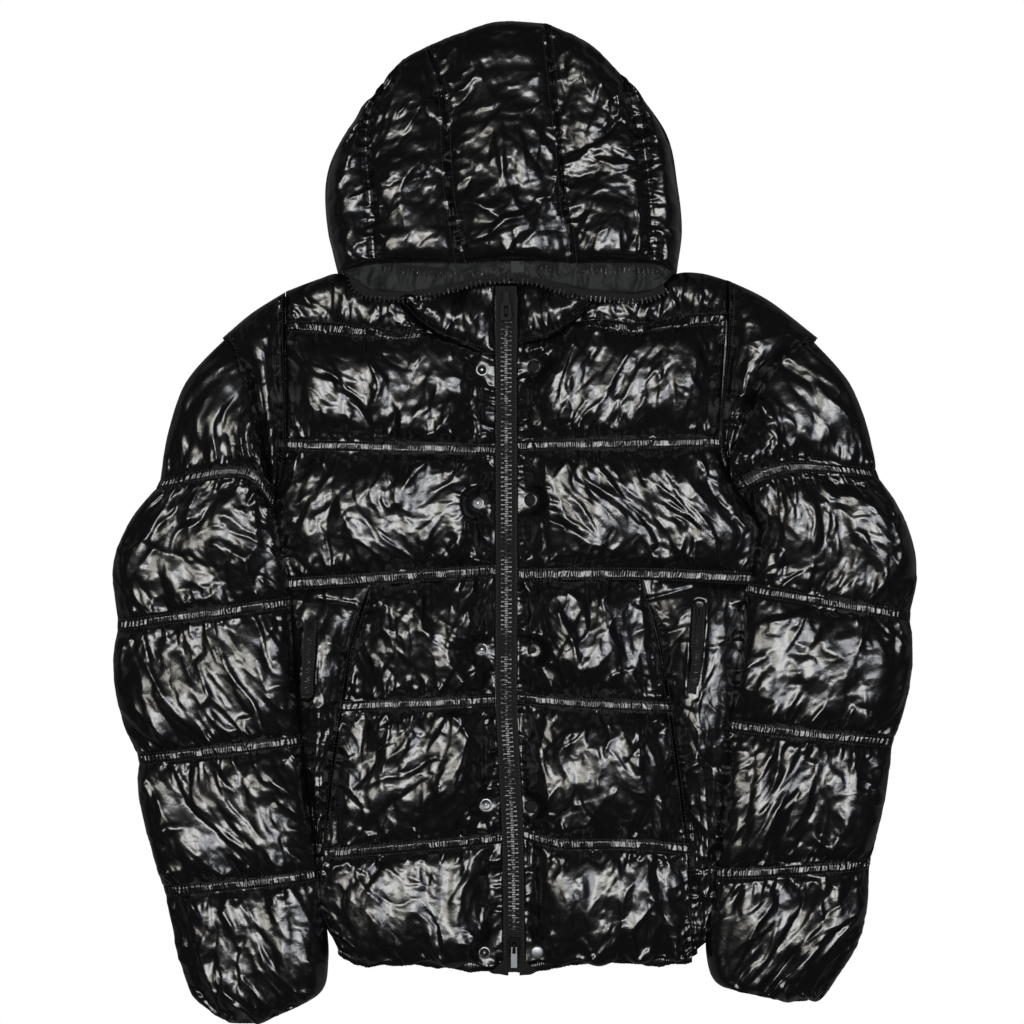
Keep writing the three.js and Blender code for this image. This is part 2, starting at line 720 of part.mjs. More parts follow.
// Points along the front zip between two heights, at most 45 mm apart.
function zipPoints(top, bottom) {
  const count = Math.ceil((top - bottom) / 45);
  return Array.from({ length: count + 1 }, (_, i) => {
    const y = THREE.MathUtils.lerp(top, bottom, i / count);
    return [zipX(y), y];
  });
}

const TOP_SLIDER_Y = 210;
const BOTTOM_SLIDER_Y = -424;
const SLIDER_LENGTH = 19;
const CHAIN_LOW = TAPE_LOW + TAPE_THICK + LAYER_GAP;

function buildFrontZip() {
  const tape = { low: TAPE_LOW, thick: TAPE_THICK };
  const line = zipPoints(236, -450);
  addStrip("zip_tape_R", line, { from: -ZIP_HALF_GAP + 2 * LAYER_GAP, to: -0.15, ...tape }, MATERIALS.tape);
  addStrip("zip_tape_L", line, { from: 0.15, to: ZIP_HALF_GAP - 2 * LAYER_GAP, ...tape }, MATERIALS.tape);
  const room = SLIDER_LENGTH / 2 + LAYER_GAP;
  addStrip(
    "zip_teeth",
    zipPoints(TOP_SLIDER_Y - room, BOTTOM_SLIDER_Y + room),
    { from: -CHAIN_WIDTH / 2, to: CHAIN_WIDTH / 2, low: CHAIN_LOW, thick: CHAIN_THICK },
    MATERIALS.teeth,
  );
  const pull = { long: 20, wide: 6 };
  addSlider("top", { x: zipX(TOP_SLIDER_Y), y: TOP_SLIDER_Y, z: CHAIN_LOW, turn: Math.PI, size: 1, pull });
  addSlider("bottom", { x: zipX(BOTTOM_SLIDER_Y), y: BOTTOM_SLIDER_Y, z: CHAIN_LOW, turn: 0, size: 1, pull });
}

// A zip slider and its pull tab, which hangs towards -Y before it is turned.
function addSlider(name, { x, y, z, turn, size, pull, tilt = 0 }) {
  const frame = new THREE.Group();
  frame.position.set(x, y, z);
  frame.rotation.set(tilt, 0, turn);
  jacket.add(frame);
  const shape = new THREE.Shape();
  const half = SLIDER_LENGTH / 2;
  shape.moveTo(-5.4, -half);
  shape.lineTo(5.4, -half);
  shape.lineTo(6.4, half - 4);
  shape.lineTo(4.6, half);
  shape.lineTo(-4.6, half);
  shape.lineTo(-6.4, half - 4);
  const plate = new THREE.ExtrudeGeometry(shape, { depth: 5, bevelEnabled: false });
  // the bridge stands on the plate; its window takes the pull's pin
  const corners = (places) => places.map(([a, b]) => new THREE.Vector2(a, b));
  const side = new THREE.Shape(corners([[-5, 0], [5, 0], [5, 2.6], [3.4, 4.2], [-3.4, 4.2], [-5, 2.6]]));
  side.holes.push(new THREE.Path(corners([[-3, 0.8], [-3, 2.8], [3, 2.8], [3, 0.8]])));
  const bridge = new THREE.ExtrudeGeometry(side, { depth: 2.4, bevelEnabled: false });
  bridge.rotateX(Math.PI / 2);
  bridge.rotateZ(Math.PI / 2);
  bridge.translate(-1.2, 0, 4.9);
  const slider = join([plate, bridge]);
  slider.scale(size, size, size);
  const sliderMesh = new THREE.Mesh(slider, MATERIALS.blackMetal);
  sliderMesh.name = name + "_slider";
  frame.add(sliderMesh);

  const hingeZ = 4.9 + 1.8;
  const pin = new THREE.CylinderGeometry(0.7, 0.7, 5, 12);
  pin.rotateZ(Math.PI / 2);
  const arms = [-1, 1].map((s) => {
    const arm = new THREE.BoxGeometry(1.1, 7, 1.4);
    arm.translate(s * 2.2, -3.1, 0);
    return arm;
  });
  const tab = new THREE.BoxGeometry(pull.wide, pull.long - 6, 1.6);
  tab.translate(0, -6 - (pull.long - 6) / 2, 0);
  const pullGeometry = join([pin, ...arms, tab]);
  pullGeometry.translate(0, 0, hingeZ);
  pullGeometry.scale(size, size, size);
  const pullMesh = new THREE.Mesh(pullGeometry, MATERIALS.blackMetal);
  pullMesh.name = name + "_pull";
  frame.add(pullMesh);
}

// One closed body from several that overlap.
function join(geometries) {
  return toGeometry(geometries.map(toSolid).reduce((all, next) => all.add(next)));
}

function toSolid(geometry) {
  const loose = geometry.index ? geometry.toNonIndexed() : geometry;
  const plain = new THREE.BufferGeometry();
  plain.setAttribute("position", loose.getAttribute("position"));
  const merged = mergeVertices(plain, 1e-4);
  return new manifold.Manifold(
    new manifold.Mesh({
      numProp: 3,
      vertProperties: merged.getAttribute("position").array,
      triVerts: new Uint32Array(merged.index.array),
    }),
  );
}

function toGeometry(solid) {
  const mesh = solid.getMesh();
  const geometry = new THREE.BufferGeometry();
  geometry.setAttribute("position", new THREE.Float32BufferAttribute(mesh.vertProperties, 3));
  geometry.setIndex(new THREE.Uint32BufferAttribute(mesh.triVerts, 1));
  geometry.computeVertexNormals();
  return geometry;
}

// Press studs beside the zip: sockets on the wearer's right, caps on the left.
const SNAPS = [
  { name: "1", stud: [-33, 152], cap: [19, 155] },
  { name: "2", stud: [-37, 19], cap: [16, 22] },
  { name: "3", stud: [-33, -127], cap: [19, -128] },
  { name: "4", stud: [-29, -282], cap: [16, -284] },
  { name: "5", stud: [-30.5, -430], cap: [22, -430] },
];
const SNAP_LOW = FRONT_LOW + SEAM_EDGE + 1 + LAYER_GAP;

function buildSnaps() {
  const turned = (profile) => {
    const solid = new THREE.LatheGeometry(profile.map(([r, z]) => new THREE.Vector2(r, z)), 16);
    return solid.rotateX(Math.PI / 2);
  };
  const studProfile = [[0, 0], [6, 0], [5.4, 1.3], [2.3, 0.9], [1.9, 2.8], [0, 3.2]];
  const capProfile = [[0, 0], [6.8, 0.1], [6.2, 1.2], [0, 2.1]];
  for (const { name, stud, cap } of SNAPS) {
    addMesh("snap_stud_" + name, turned(studProfile), MATERIALS.snapMetal).position.set(...stud, SNAP_LOW);
    addMesh("snap_cap_" + name, turned(capProfile), MATERIALS.blackMetal).position.set(...cap, SNAP_LOW);
  }
}

// Gathered elastic binding along the hem, front halves and back.
function buildHem() {
  const side = [ROUNDED, { edge: 3, band: 0, round: 20 }];
  const steps = [0, 0.35, 0.75, 1];
  addPanel("hem_binding_R", {
    side,
    steps,
    rows: [
      {
        line: [[-177, -424.8], [-152, -434.8], [-111, -433.8], [-47, -439.8], [zipX(-442) - 12, -442.8]],
        rise: 1,
        crest: 3.4,
      },
      { line: [[-177, -433], [-154, -444], [-111, -442.5], [-47, -448], [zipX(-442) - 12, -450]], rise: 0 },
    ],
  });
  addPanel("hem_binding_L", {
    side,
    steps,
    rows: [
      {
        line: [[177, -430.8], [150, -434.8], [111, -431.8], [58, -434.8], [zipX(-442) + 12, -441.8]],
        rise: 1,
        crest: 3.4,
      },
      { line: [[177, -441], [150, -443.5], [111, -440.5], [58, -443.5], [zipX(-442) + 12, -450]], rise: 0 },
    ],
  });
  addPanel("hem_binding_back", {
    level: BACK_TOP,
    up: -1,
    side: [ROUNDED, ROUNDED],
    steps,
    rows: [
      {
        line: [[-176, -425], [-150, -435], [-100, -435], [0, -442], [100, -434], [152, -434], [184, -425]],
        rise: 12,
        crest: 16,
      },
      {
        line: [[-176, -433], [-152, -443.5], [-100, -443], [0, -450], [100, -441], [152, -443], [184, -434]],
        rise: 8,
      },
    ],
  });
}

// Elastic cuffs: flat tubes in the ends of the sleeves.
function buildCuffs() {
  const cuffs = [
    { name: "cuff_R", x: -269, y: -492.5, long: 8, turn: 0, wide: 36 },
    { name: "cuff_L", x: 278.5, y: -472.5, long: 6, turn: 0, wide: 29 },
  ];
  for (const { name, x, y, long, turn, wide } of cuffs) {
    const outline = (w, h) => {
      const r = h / 2;
      const shape = new THREE.Shape();
      shape.absarc(w / 2 - r, 0, r, -Math.PI / 2, Math.PI / 2, false);
      shape.absarc(-w / 2 + r, 0, r, Math.PI / 2, (3 * Math.PI) / 2, false);
      return shape;
    };
    const shape = outline(wide, 11);
    shape.holes.push(outline(wide - 8, 3));
    const geometry = new THREE.ExtrudeGeometry(shape, { depth: long, bevelEnabled: false, curveSegments: 6 });
    geometry.rotateX(Math.PI / 2);
    const mesh = addMesh(name, geometry, MATERIALS.elastic);
    mesh.position.set(x, y, SLEEVE_MID);
    mesh.rotation.z = turn;
  }
}

// Height of a panel's top at a place in plan.
function panelTop(name, x, y) {
  const { grid, level } = panels.get(name);
  for (let r = 0; r < grid.length - 1; r++) {
    for (let c = 0; c < grid[0].length - 1; c++) {
      const [a, b, d, e] = [grid[r][c], grid[r][c + 1], grid[r + 1][c + 1], grid[r + 1][c]];
      for (const [p, q, s] of [[a, b, d], [a, d, e]]) {
        const whole = cross(p.point, q.point, s.point);
        const place = { x, y };
        const wp = cross(place, q.point, s.point) / whole;
        const wq = cross(p.point, place, s.point) / whole;
        const ws = 1 - wp - wq;
        if (Math.min(wp, wq, ws) >= 0) return level + wp * p.rise + wq * q.rise + ws * s.rise;
      }
    }
  }
  throw new Error(name + " has no surface at " + x + ", " + y);
}

function cross(a, b, c) {
  return (b.x - a.x) * (c.y - a.y) - (b.y - a.y) * (c.x - a.x);
}

// Height that clears a panel's top everywhere within reach of a place.
function clearOf(name, x, y, reach) {
  const near = [-1, 0, 1].flatMap((i) => [-1, 0, 1].map((j) => panelTop(name, x + i * reach, y + j * reach)));
  return Math.max(...near) + LAYER_GAP;
}

// Zipped pockets in the side panels.
function buildPockets() {
  const pockets = [
    { side: "R", top: [-203, -98], end: [-206, -170] },
    { side: "L", top: [183, -84], end: [177, -170] },
  ];
  const count = 6;
  for (const { side, top, end } of pockets) {
    const panel = "side_panel_" + side;
    const line = Array.from({ length: count + 1 }, (_, i) => {
      const x = THREE.MathUtils.lerp(top[0], end[0], i / count);
      const y = THREE.MathUtils.lerp(top[1], end[1], i / count);
      return [x, y, clearOf(panel, x, y, 7)];
    });
    const raised = line.slice(1).map(([x, y, z]) => [x, y, z + 0.9]);
    const tape = strip(line, { from: -6.5, to: 6.5, thick: 1 });
    const teeth = strip(raised, { from: -2.4, to: 2.4, thick: 2 });
    addMesh("pocket_zip_" + side, join([tape, teeth]), MATERIALS.tape);
    const start = new THREE.Vector3(...line[0]);
    const next = new THREE.Vector3(...line[1]);
    const tilt = Math.atan2(start.z - next.z, start.y - next.y);
    const { x, y, z } = start.lerp(next, 0.42);
    addSlider("pocket_" + side, { x, y, z: z + 1.6, turn: 0, tilt, size: 0.5, pull: { long: 24, wide: 6 } });
  }
}

buildBack();
buildHood();
buildSleeves();
buildArmholePanels();
buildYokesAndCollars();
buildUpperFronts();
buildLowerFronts();
buildSidePanels();
buildHoodLining();
buildHoodZip();
buildFrontZip();
buildSnaps();
buildHem();
buildCuffs();
buildPockets();

export default jacket;
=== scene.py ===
"""Black hooded puffer jacket laid flat: cloth, stitching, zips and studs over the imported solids."""

import json
import math

import bmesh
import bpy
import numpy as np
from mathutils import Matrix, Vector


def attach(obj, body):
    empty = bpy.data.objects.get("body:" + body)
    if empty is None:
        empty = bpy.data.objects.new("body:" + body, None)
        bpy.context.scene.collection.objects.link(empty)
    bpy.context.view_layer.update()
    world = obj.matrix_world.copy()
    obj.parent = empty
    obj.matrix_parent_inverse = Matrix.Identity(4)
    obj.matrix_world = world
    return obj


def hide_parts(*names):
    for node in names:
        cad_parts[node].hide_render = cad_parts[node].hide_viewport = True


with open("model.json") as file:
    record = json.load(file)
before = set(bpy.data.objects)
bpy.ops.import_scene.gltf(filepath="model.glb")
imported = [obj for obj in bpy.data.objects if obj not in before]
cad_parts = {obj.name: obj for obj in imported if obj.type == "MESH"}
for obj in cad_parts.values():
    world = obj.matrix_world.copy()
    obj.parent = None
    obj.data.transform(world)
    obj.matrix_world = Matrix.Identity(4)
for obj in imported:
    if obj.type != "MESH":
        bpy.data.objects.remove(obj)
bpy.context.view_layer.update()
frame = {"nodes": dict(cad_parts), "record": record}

MM = 0.001
SEED = 7

# Heights of the padded layers, in millimetres, as in the solids.
BACK_TOP = 30.0
FRONT_LOW = 30.3
SLEEVE_MID = 34.15
# How far cloth reaches past a panel's outline, at the ends of its rows and at its first and
# last row, so that it meets its neighbour's.
SEAM_LAP = 0.5
END_LAP = 1.3
# Half the width of a channel, and the spacing of the rows in it.
RIB_HALF, RIB_STEP = 5.0, 2.5
# The front zip: from its centre to the cloth beside it, and places on its centre line.
ZIP_HALF_GAP = 11.3
ZIP_LINE = ((-9, 239), (-8.5, -55), (-9, -178), (-5.5, -248), (-2, -318), (-1, -413), (-1, -452))

# Spacing of the cloth's points: fronts and hood, sleeves, and the layers underneath.
CELL = 1.55
SLEEVE_CELL = 1.75
BACK_CELL = 3.0
# Fullness of a settled baffle, as a share of its solid's, and the lumps of its filling: their
# size and height.
BAFFLE_FULL = 0.7
LUMPS = ((75, 3.2), (38, 1.3))
# Power by which a baffle rises from its stitch lines; a higher one keeps more of it level.
BAFFLE_POWER = 2.2
# Levels of settling, each with its spacing in cells, the shares by which the cloth is longer than
# its base along and across a row, and its rounds.
LEVELS = ((4, 0.06, 0.012, 60), (2, 0.035, 0.008, 24))
# Unevenness that the folds start from: the size of its lumps and, for each cell of the
# spacing, their height.
START_LUMPS = ((2.2, 0.35), (5, 0.3))
# Stiffness of the cloth when it is stretched along a row or across it, sheared and bent.
STRETCH, SHEAR, BEND = 0.9, 0.4, 0.6
# How far apart points two cells from each other are pulled, as a share of the cloth between them.
BEND_REST = 0.97
# Share of the way back to its base by which the filling moves the cloth in each round.
FILLING = 0.03
# Cloth lower than this above its flat side flattens out instead of going through it.
SOFT_FLOOR = 2.0


def zip_x(y):
    """X of the front zip's centre at y, on straight lines between its places."""
    ys = [point[1] for point in ZIP_LINE][::-1]
    xs = [point[0] for point in ZIP_LINE][::-1]
    return float(np.interp(y, ys, xs))


def at_zip(side, y):
    """End of a row at y, half the zip's gap from its centre; side is -1 on the wearer's right
    and 1 on the left."""
    return (zip_x(y) + side * ZIP_HALF_GAP, y)


def seam(line, rise=1.0, crest=0.0, power=BAFFLE_POWER):
    """A plain seam across a panel: the height of its cloth, and the height and power of the
    padding that follows it."""
    return {"line": line, "kind": "seam", "rise": rise, "crest": crest, "power": power}


def channel(line, rise=5.0, crest=0.0):
    """A gathered channel between two stitch lines, with the same values as a seam."""
    return {"line": line, "kind": "channel", "rise": rise, "crest": crest, "power": BAFFLE_POWER}


def guide(line):
    """A line that only steers the outline and the run of the cloth."""
    return {"line": line, "kind": "guide"}


# How a panel's side edges behave: height there, the reach over which the padding swells, how
# wide a flat band stays along the edge, and an ease above 1 for a gentler start.
ROUNDED = {"edge": 1.4, "round": 34.0}
SEAMED = {"edge": 8.0, "round": 30.0, "ease": 1.7}
SOFT_SEAM = {"edge": 9.0, "round": 38.0, "ease": 1.8}
LONG_SEAM = {"edge": 9.0, "round": 66.0, "ease": 1.5}
AT_ZIP = {"edge": 7.0, "round": 46.0, "band": 2.0, "ease": 3.0}
SLEEVE_EDGE = {"edge": 0.0, "round": 44.0}
HOOD_OPENING = {"edge": 22.0, "round": 30.0}
HOOD_TOP = {"edge": 0.0, "round": 46.0}

FRONTS = {
    "front_upper_R": {
        "sides": (SOFT_SEAM, AT_ZIP),
        "rows": [
            seam([(-229, 196), (-175, 191), (-115, 186), (-86, 187.6), (-50, 174),
                  at_zip(-1, 165)], crest=31),
            channel([(-227, 77), at_zip(-1, 72)], crest=32),
            guide([(-233, 46), at_zip(-1, 44)]),
            guide([(-240, 14), at_zip(-1, 13)]),
            guide([(-231, -38), at_zip(-1, -30)]),
            channel([(-226, -66), (-143, -61), at_zip(-1, -53)]),
        ],
    },
    "front_upper_L": {
        "sides": (SOFT_SEAM, AT_ZIP),
        "rows": [
            seam([(210.5, 203), (162, 198), (116, 193), (64, 199.4), (38, 184),
                  at_zip(1, 176)], crest=31),
            channel([(203, 80), at_zip(1, 76)], crest=32),
            guide([(211, 50), at_zip(1, 47)]),
            guide([(223.5, 27), at_zip(1, 25)]),
            guide([(247, -8), at_zip(1, -9)]),
            guide([(244, -38), at_zip(1, -36)]),
            channel([(239, -61), (128, -56), at_zip(1, -57)]),
        ],
    },
    "front_lower_R": {
        "sides": (LONG_SEAM, AT_ZIP),
        "rows": [
            seam([(-143, -61.6), at_zip(-1, -53.6)], crest=33),
            guide([(-160.5, -118), at_zip(-1, -115)]),
            channel([(-172, -184), at_zip(-1, -178)], crest=33),
            guide([(-183.5, -260), at_zip(-1, -248)]),
            channel([(-190, -331), at_zip(-1, -316)], crest=28),
            guide([(-196, -378), at_zip(-1, -378)]),
            seam([(-177, -425), (-160, -434), (-143, -439), (-126, -434), (-106, -440), (-88, -436),
                  (-64, -443), (-44, -438), (-27, -445), at_zip(-1, -442)], rise=7),
        ],
    },
    "front_lower_L": {
        "sides": (LONG_SEAM, AT_ZIP),
        "rows": [
            seam([(127, -56.8), at_zip(1, -57.6)], crest=33),
            guide([(142, -118), at_zip(1, -115)]),
            channel([(154, -185), (69, -181), at_zip(1, -176)], crest=33),
            guide([(165, -268), (90, -262), at_zip(1, -248)]),
            channel([(172, -326), (112, -321), (46, -321), at_zip(1, -312)], crest=28),
            seam([(178, -430), (163, -437), (145, -433), (124, -439), (106, -434), (84, -441),
                  (62, -436), (42, -442), (25, -438), at_zip(1, -441)], rise=7),
        ],
    },
}

NECK = (
    (-174, 249), (-146, 232), (-116, 228.5), (-85, 231), (-52, 236), (-20, 241), (3, 241),
    (33, 238), (60, 232.5), (90, 229), (120, 228.5), (143, 234), (160, 249),
)


def neck_row(places, lift=0.0):
    """A row of points at the given places in x, on straight lines between the neck's, moved up
    by lift."""
    xs, ys = zip(*NECK)
    return [(x, float(np.interp(x, xs, ys)) + lift) for x in places]


# Places of the snaps on the wearer's right and left of the zip.
STUDS = ((-33, 152), (-37, 19), (-33, -127), (-29, -282), (-30.5, -430))
CAPS = ((19, 155), (16, 22), (19, -128), (16, -284), (22, -430))
# Height of the cloth at the zip and the snaps above its flat side, and of the snaps above the
# floor.
ZIP_EDGE = 7.0
SNAP_LOW = 37.6
# Radius of the flat cloth round a snap, the reach over which it swells again, the share of its
# fullness that is left at the snap, and how far it sinks for each millimetre under the snap.
SNAP_FLAT, SNAP_REACH, SNAP_FULL, SNAP_SINK = 6.5, 12.0, 0.15, 0.12
# Gathers round each snap: their number, distance from its middle, length, height and width.
SNAP_GATHERS, SNAP_DIMPLE, SNAP_GATHER = 12, 17.0, (30, 1.8, 3.0)

# Upper and lower end of each pocket's zip, the reach of the smooth cloth along it and of its
# change to crumpled cloth, and the raised welt round it: height, distance, width and how far it
# runs past the zip's ends.
POCKETS = (((-203, -98), (-206, -170)), ((183, -84), (177, -170)))
POCKET_FLAT, POCKET_REACH = 5.0, 4
WELT_HEIGHT, WELT_OFF, WELT_WIDE, WELT_PAST = 3.4, 7.4, 2.4, 4

PLAIN_PANELS = {
    "side_panel_R": {
        "sides": (ROUNDED, SEAMED),
        "rows": [
            seam([(-225.5, -66.8), (-144, -62)], crest=22),
            guide([(-222, -118), (-161.8, -118)]),
            guide([(-217, -184), (-173.2, -184.5)]),
            guide([(-208.5, -262), (-184.6, -260)]),
            seam([(-200.5, -335), (-191.6, -333)]),
        ],
    },
    "side_panel_L": {
        "sides": (ROUNDED, SEAMED),
        "rows": [
            seam([(238.5, -61.8), (128, -57)], crest=22),
            guide([(232, -118), (143.5, -118)]),
            guide([(222, -190), (155.5, -190)]),
            guide([(214, -270), (166, -270)]),
            guide([(207.5, -340), (173.5, -335)]),
            seam([(198, -414), (177.5, -429)]),
        ],
    },
    "armhole_panel_R": {
        "sides": (SEAMED, SEAMED),
        "rows": [
            seam([(-291, 183), (-263, 207), (-230, 228)], rise=0, crest=24, power=6),
            guide([(-271, 146), (-230, 178)]),
            guide([(-258, 97), (-229, 122)]),
            guide([(-251.5, 56), (-228.6, 76)]),
            seam([(-243, 22), (-239.2, 20)]),
        ],
    },
    "armhole_panel_L": {
        "sides": (SEAMED, SEAMED),
        "rows": [
            seam([(301, 183), (253, 220), (212.5, 240)], rise=0, crest=24, power=6),
            guide([(276.5, 165), (212, 186)]),
            guide([(255.5, 143), (210, 155)]),
            guide([(235.5, 98), (206.5, 112)]),
            guide([(219.5, 62), (206, 74)]),
            seam([(222, 38), (219, 40)]),
        ],
    },
    "yoke_R": {
        "sides": (SEAMED, SEAMED),
        "rows": [
            seam([(-228.5, 229), (-197, 241), (-174, 246.5), (-146, 231.4), (-124, 226.5),
                  (-88, 191)], rise=0, crest=12),
            seam([(-228.5, 196.6), (-197, 193.8), (-172, 191.4), (-146, 189), (-118, 187.2), (-88, 188.8)]),
        ],
    },
    "yoke_L": {
        "sides": (SEAMED, SEAMED),
        "rows": [
            seam([(211.6, 240), (186, 247), (161, 246.5), (140, 232.4), (118, 227), (84, 226),
                  (66, 203)], rise=0, crest=12),
            seam([(211.6, 203.6), (186, 201.2), (161, 198.6), (134, 195.4), (110, 195),
                  (88, 198.4), (66.4, 200.4)]),
        ],
    },
    "collar_R": {
        "sides": (SEAMED, SEAMED),
        "rows": [
            seam(neck_row((-122, -85, -52, -20.6), -0.4), rise=0, crest=12),
            seam([(-122.4, 227.6), (-86, 192.2), (-50, 175), at_zip(-1, 166)]),
        ],
    },
    "collar_L": {
        "sides": (SEAMED, SEAMED),
        "rows": [
            seam(neck_row((84, 60, 33, 2.6)), rise=0, crest=12),
            seam([(82, 227.2), (63.8, 204.4), (36, 185.6), at_zip(1, 177)]),
        ],
    },
}

# Lines up the hood from its opening, from the wearer's right edge to the left.
EDGE_R = [(-174, 249.5), (-186, 290), (-188, 342), (-172, 384), (-134, 437)]
SIDE_R = [(-139, 257), (-144, 327), (-148, 372), (-145, 405), (-131, 440)]
MIDDLE_R = [(-98, 258), (-105, 325), (-108, 370), (-110, 420), (-112, 462)]
CENTRE_R = [(-54, 257), (-65, 323), (-68, 367), (-72, 427), (-88, 476)]
CROWN = [(-2, 261), (-8, 330), (-13, 385), (-17, 445), (-22, 499.5)]
CENTRE_L = [(57, 257), (49, 322), (44, 376), (37, 437), (31, 499)]
MIDDLE_L = [(98, 258), (92, 314), (87, 366), (80, 422), (72, 480)]
SIDE_L = [(138, 257), (135, 306), (130, 357), (121, 407), (105, 449)]
EDGE_L = [(160, 249.5), (166, 290), (162, 335), (150, 390), (110, 445)]
HOOD = {
    "hood_side_R": {
        "sides": (HOOD_OPENING, HOOD_TOP),
        "rows": [
            seam(EDGE_R, rise=-20, crest=24),
            seam(SIDE_R, rise=12, crest=30),
            guide(MIDDLE_R),
            seam(CENTRE_R, rise=14),
        ],
    },
    "hood_centre": {
        "sides": (HOOD_OPENING, HOOD_TOP),
        "rows": [
            seam(CENTRE_R, rise=14, crest=32),
            guide(CROWN),
            seam(CENTRE_L, rise=14),
        ],
    },
    "hood_side_L": {
        "sides": (HOOD_OPENING, HOOD_TOP),
        "rows": [
            seam(CENTRE_L, rise=14, crest=30),
            guide(MIDDLE_L),
            seam(SIDE_L, rise=12, crest=24),
            seam(EDGE_L, rise=-20),
        ],
    },
}

# The layers underneath, whose padding hangs below the plane at BACK_TOP as far as the floor.
BACK_OPENING = {"edge": 16.0, "round": 24.0}
BACK_NECK_Y = 237


def from_neck(line):
    """A line up the hood that starts at the seam of the back's neck."""
    return [(line[0][0], BACK_NECK_Y), *line[1:]]


BACKS = {
    "back": {
        "sides": (ROUNDED, ROUNDED),
        "rows": [
            seam([(-291, 183), (-243, 221), (-174, 236), (-8, 236), (159, 236), (250, 221),
                  (301, 182)], rise=12, crest=34),
            guide([(-271, 146), (274.5, 163.5)]),
            guide([(-265, 122), (253, 141)]),
            guide([(-258, 97), (234, 97.5)]),
            guide([(-251.5, 56), (216, 60)]),
            guide([(-241, 16), (224, 24)]),
            guide([(-231, -38), (247, -10)]),
            guide([(-226, -66), (239, -61)]),
            guide([(-222, -118), (232, -118)]),
            guide([(-217, -184), (222, -190)]),
            guide([(-208.5, -262), (214, -270)]),
            guide([(-200.5, -335), (207.5, -340)]),
            guide([(-194, -378), (202, -385)]),
            guide([(-188, -408), (198, -412)]),
            seam([(-176, -424), (-150, -434), (-100, -434), (0, -441), (100, -433), (152, -433),
                  (184, -424)], rise=14),
        ],
    },
    "hood_back": {
        "sides": (BACK_OPENING, HOOD_TOP),
        "rows": [
            seam(from_neck(EDGE_R), rise=0, crest=34),
            seam(from_neck(SIDE_R), rise=34, crest=34),
            guide(from_neck(MIDDLE_R)),
            seam(from_neck(CENTRE_R), rise=34, crest=34),
            guide(from_neck(CROWN)),
            seam(from_neck(CENTRE_L), rise=34, crest=34),
            guide(from_neck(MIDDLE_L)),
            seam(from_neck(SIDE_L), rise=34, crest=34),
            seam(from_neck(EDGE_L), rise=0),
        ],
    },
}

# Rows of the sleeves, from the armhole to the cuff, outer edge first. rise and crest are
# shares of the sleeve's height.
SLEEVES = {
    "sleeve_R": [
        seam([(-292.8, 184), (-272.3, 146), (-259.3, 97), (-252.8, 56), (-243.8, 20)], 0.35, 0.96),
        guide([(-327, 142), (-272, 92), (-244.6, 19)]),
        guide([(-346, 90), (-275, 70), (-245, 17.5)]),
        channel([(-355, 37), (-268, 50), (-245.5, 16)], 0.55, 1.0),
        guide([(-383, 2), (-241, 0)]),
        guide([(-401, -45), (-233, -38)]),
        channel([(-396, -103), (-230.5, -80)], 0.5, 1.0),
        guide([(-401, -142), (-225, -140)]),
        guide([(-392, -196), (-222, -182)]),
        channel([(-375, -236), (-219, -217)], 0.5, 0.97),
        guide([(-374, -280), (-212, -282)]),
        channel([(-350, -367), (-202, -351)], 0.5, 0.94),
        guide([(-341, -405), (-195.5, -400)]),
        guide([(-334, -438), (-193.5, -437)]),
        guide([(-321, -473), (-201, -470)]),
        seam([(-297, -491), (-283, -498), (-268, -495), (-254, -499), (-239, -490)], 0.25),
    ],
    "sleeve_L": [
        seam([(306, 181), (280, 165), (259, 143), (239, 98), (223, 62), (226, 36)], 0.35, 0.96),
        guide([(333, 140), (284, 122), (227, 35.4)]),
        guide([(353, 90), (282, 88), (228, 34.8)]),
        channel([(361, 47), (272, 54), (229, 34)], 0.55, 1.0),
        guide([(388, 4), (254, -4)]),
        guide([(401, -45), (248, -42)]),
        channel([(394, -94), (241, -66)], 0.5, 1.0),
        guide([(396.5, -136), (233, -132)]),
        guide([(389, -184), (227, -172)]),
        channel([(377, -219), (223, -202)], 0.5, 0.97),
        guide([(369, -276), (217.5, -275)]),
        channel([(354, -340), (211, -350)], 0.5, 0.94),
        guide([(351, -385), (205, -390)]),
        guide([(341, -422), (202, -430)]),
        guide([(320, -457), (214, -462)]),
        seam([(312, -470), (300, -477), (286, -474), (269, -478), (256, -470)], 0.25),
    ],
}
SLEEVE_RISE = {"top": 41.0, "under": 36.0}
# How far each sleeve is pressed against the body, and how far its seam at the armhole is lifted.
SLEEVE_LEAN = {"sleeve_R": 6.5, "sleeve_L": -10.5}
ARMHOLE_LIFT = 2
# How full of folds the cloth is that shows less, as a share of the fronts'.
UNDER_FOLDS, BACK_FOLDS, LINING_FOLDS = 0.5, 0.7, 0.9


def catmull_rom(points, per_span=24):
    """Dense points on a smooth line through points, whose first axis runs along it: a cubic
    between each two, whose slope at a point is half the step between that point's neighbours."""
    points = np.asarray(points, float)
    if len(points) == 2:
        t = np.linspace(0, 1, per_span)
        shape = (per_span,) + (1,) * (points.ndim - 1)
        return points[0] + (points[1] - points[0]) * t.reshape(shape)
    padded = np.concatenate([points[:1], points, points[-1:]])
    spans = []
    for i in range(len(points) - 1):
        p0, p1, p2, p3 = padded[i : i + 4]
        t = np.linspace(0, 1, per_span, endpoint=i == len(points) - 2)
        t = t.reshape((-1,) + (1,) * (points.ndim - 1))
        v0, v1 = (p2 - p0) / 2, (p3 - p1) / 2
        a = 2 * (p1 - p2) + v0 + v1
        b = -3 * (p1 - p2) - 2 * v0 - v1
        spans.append(((a * t + b) * t + v0) * t + p1)
    return np.concatenate(spans)


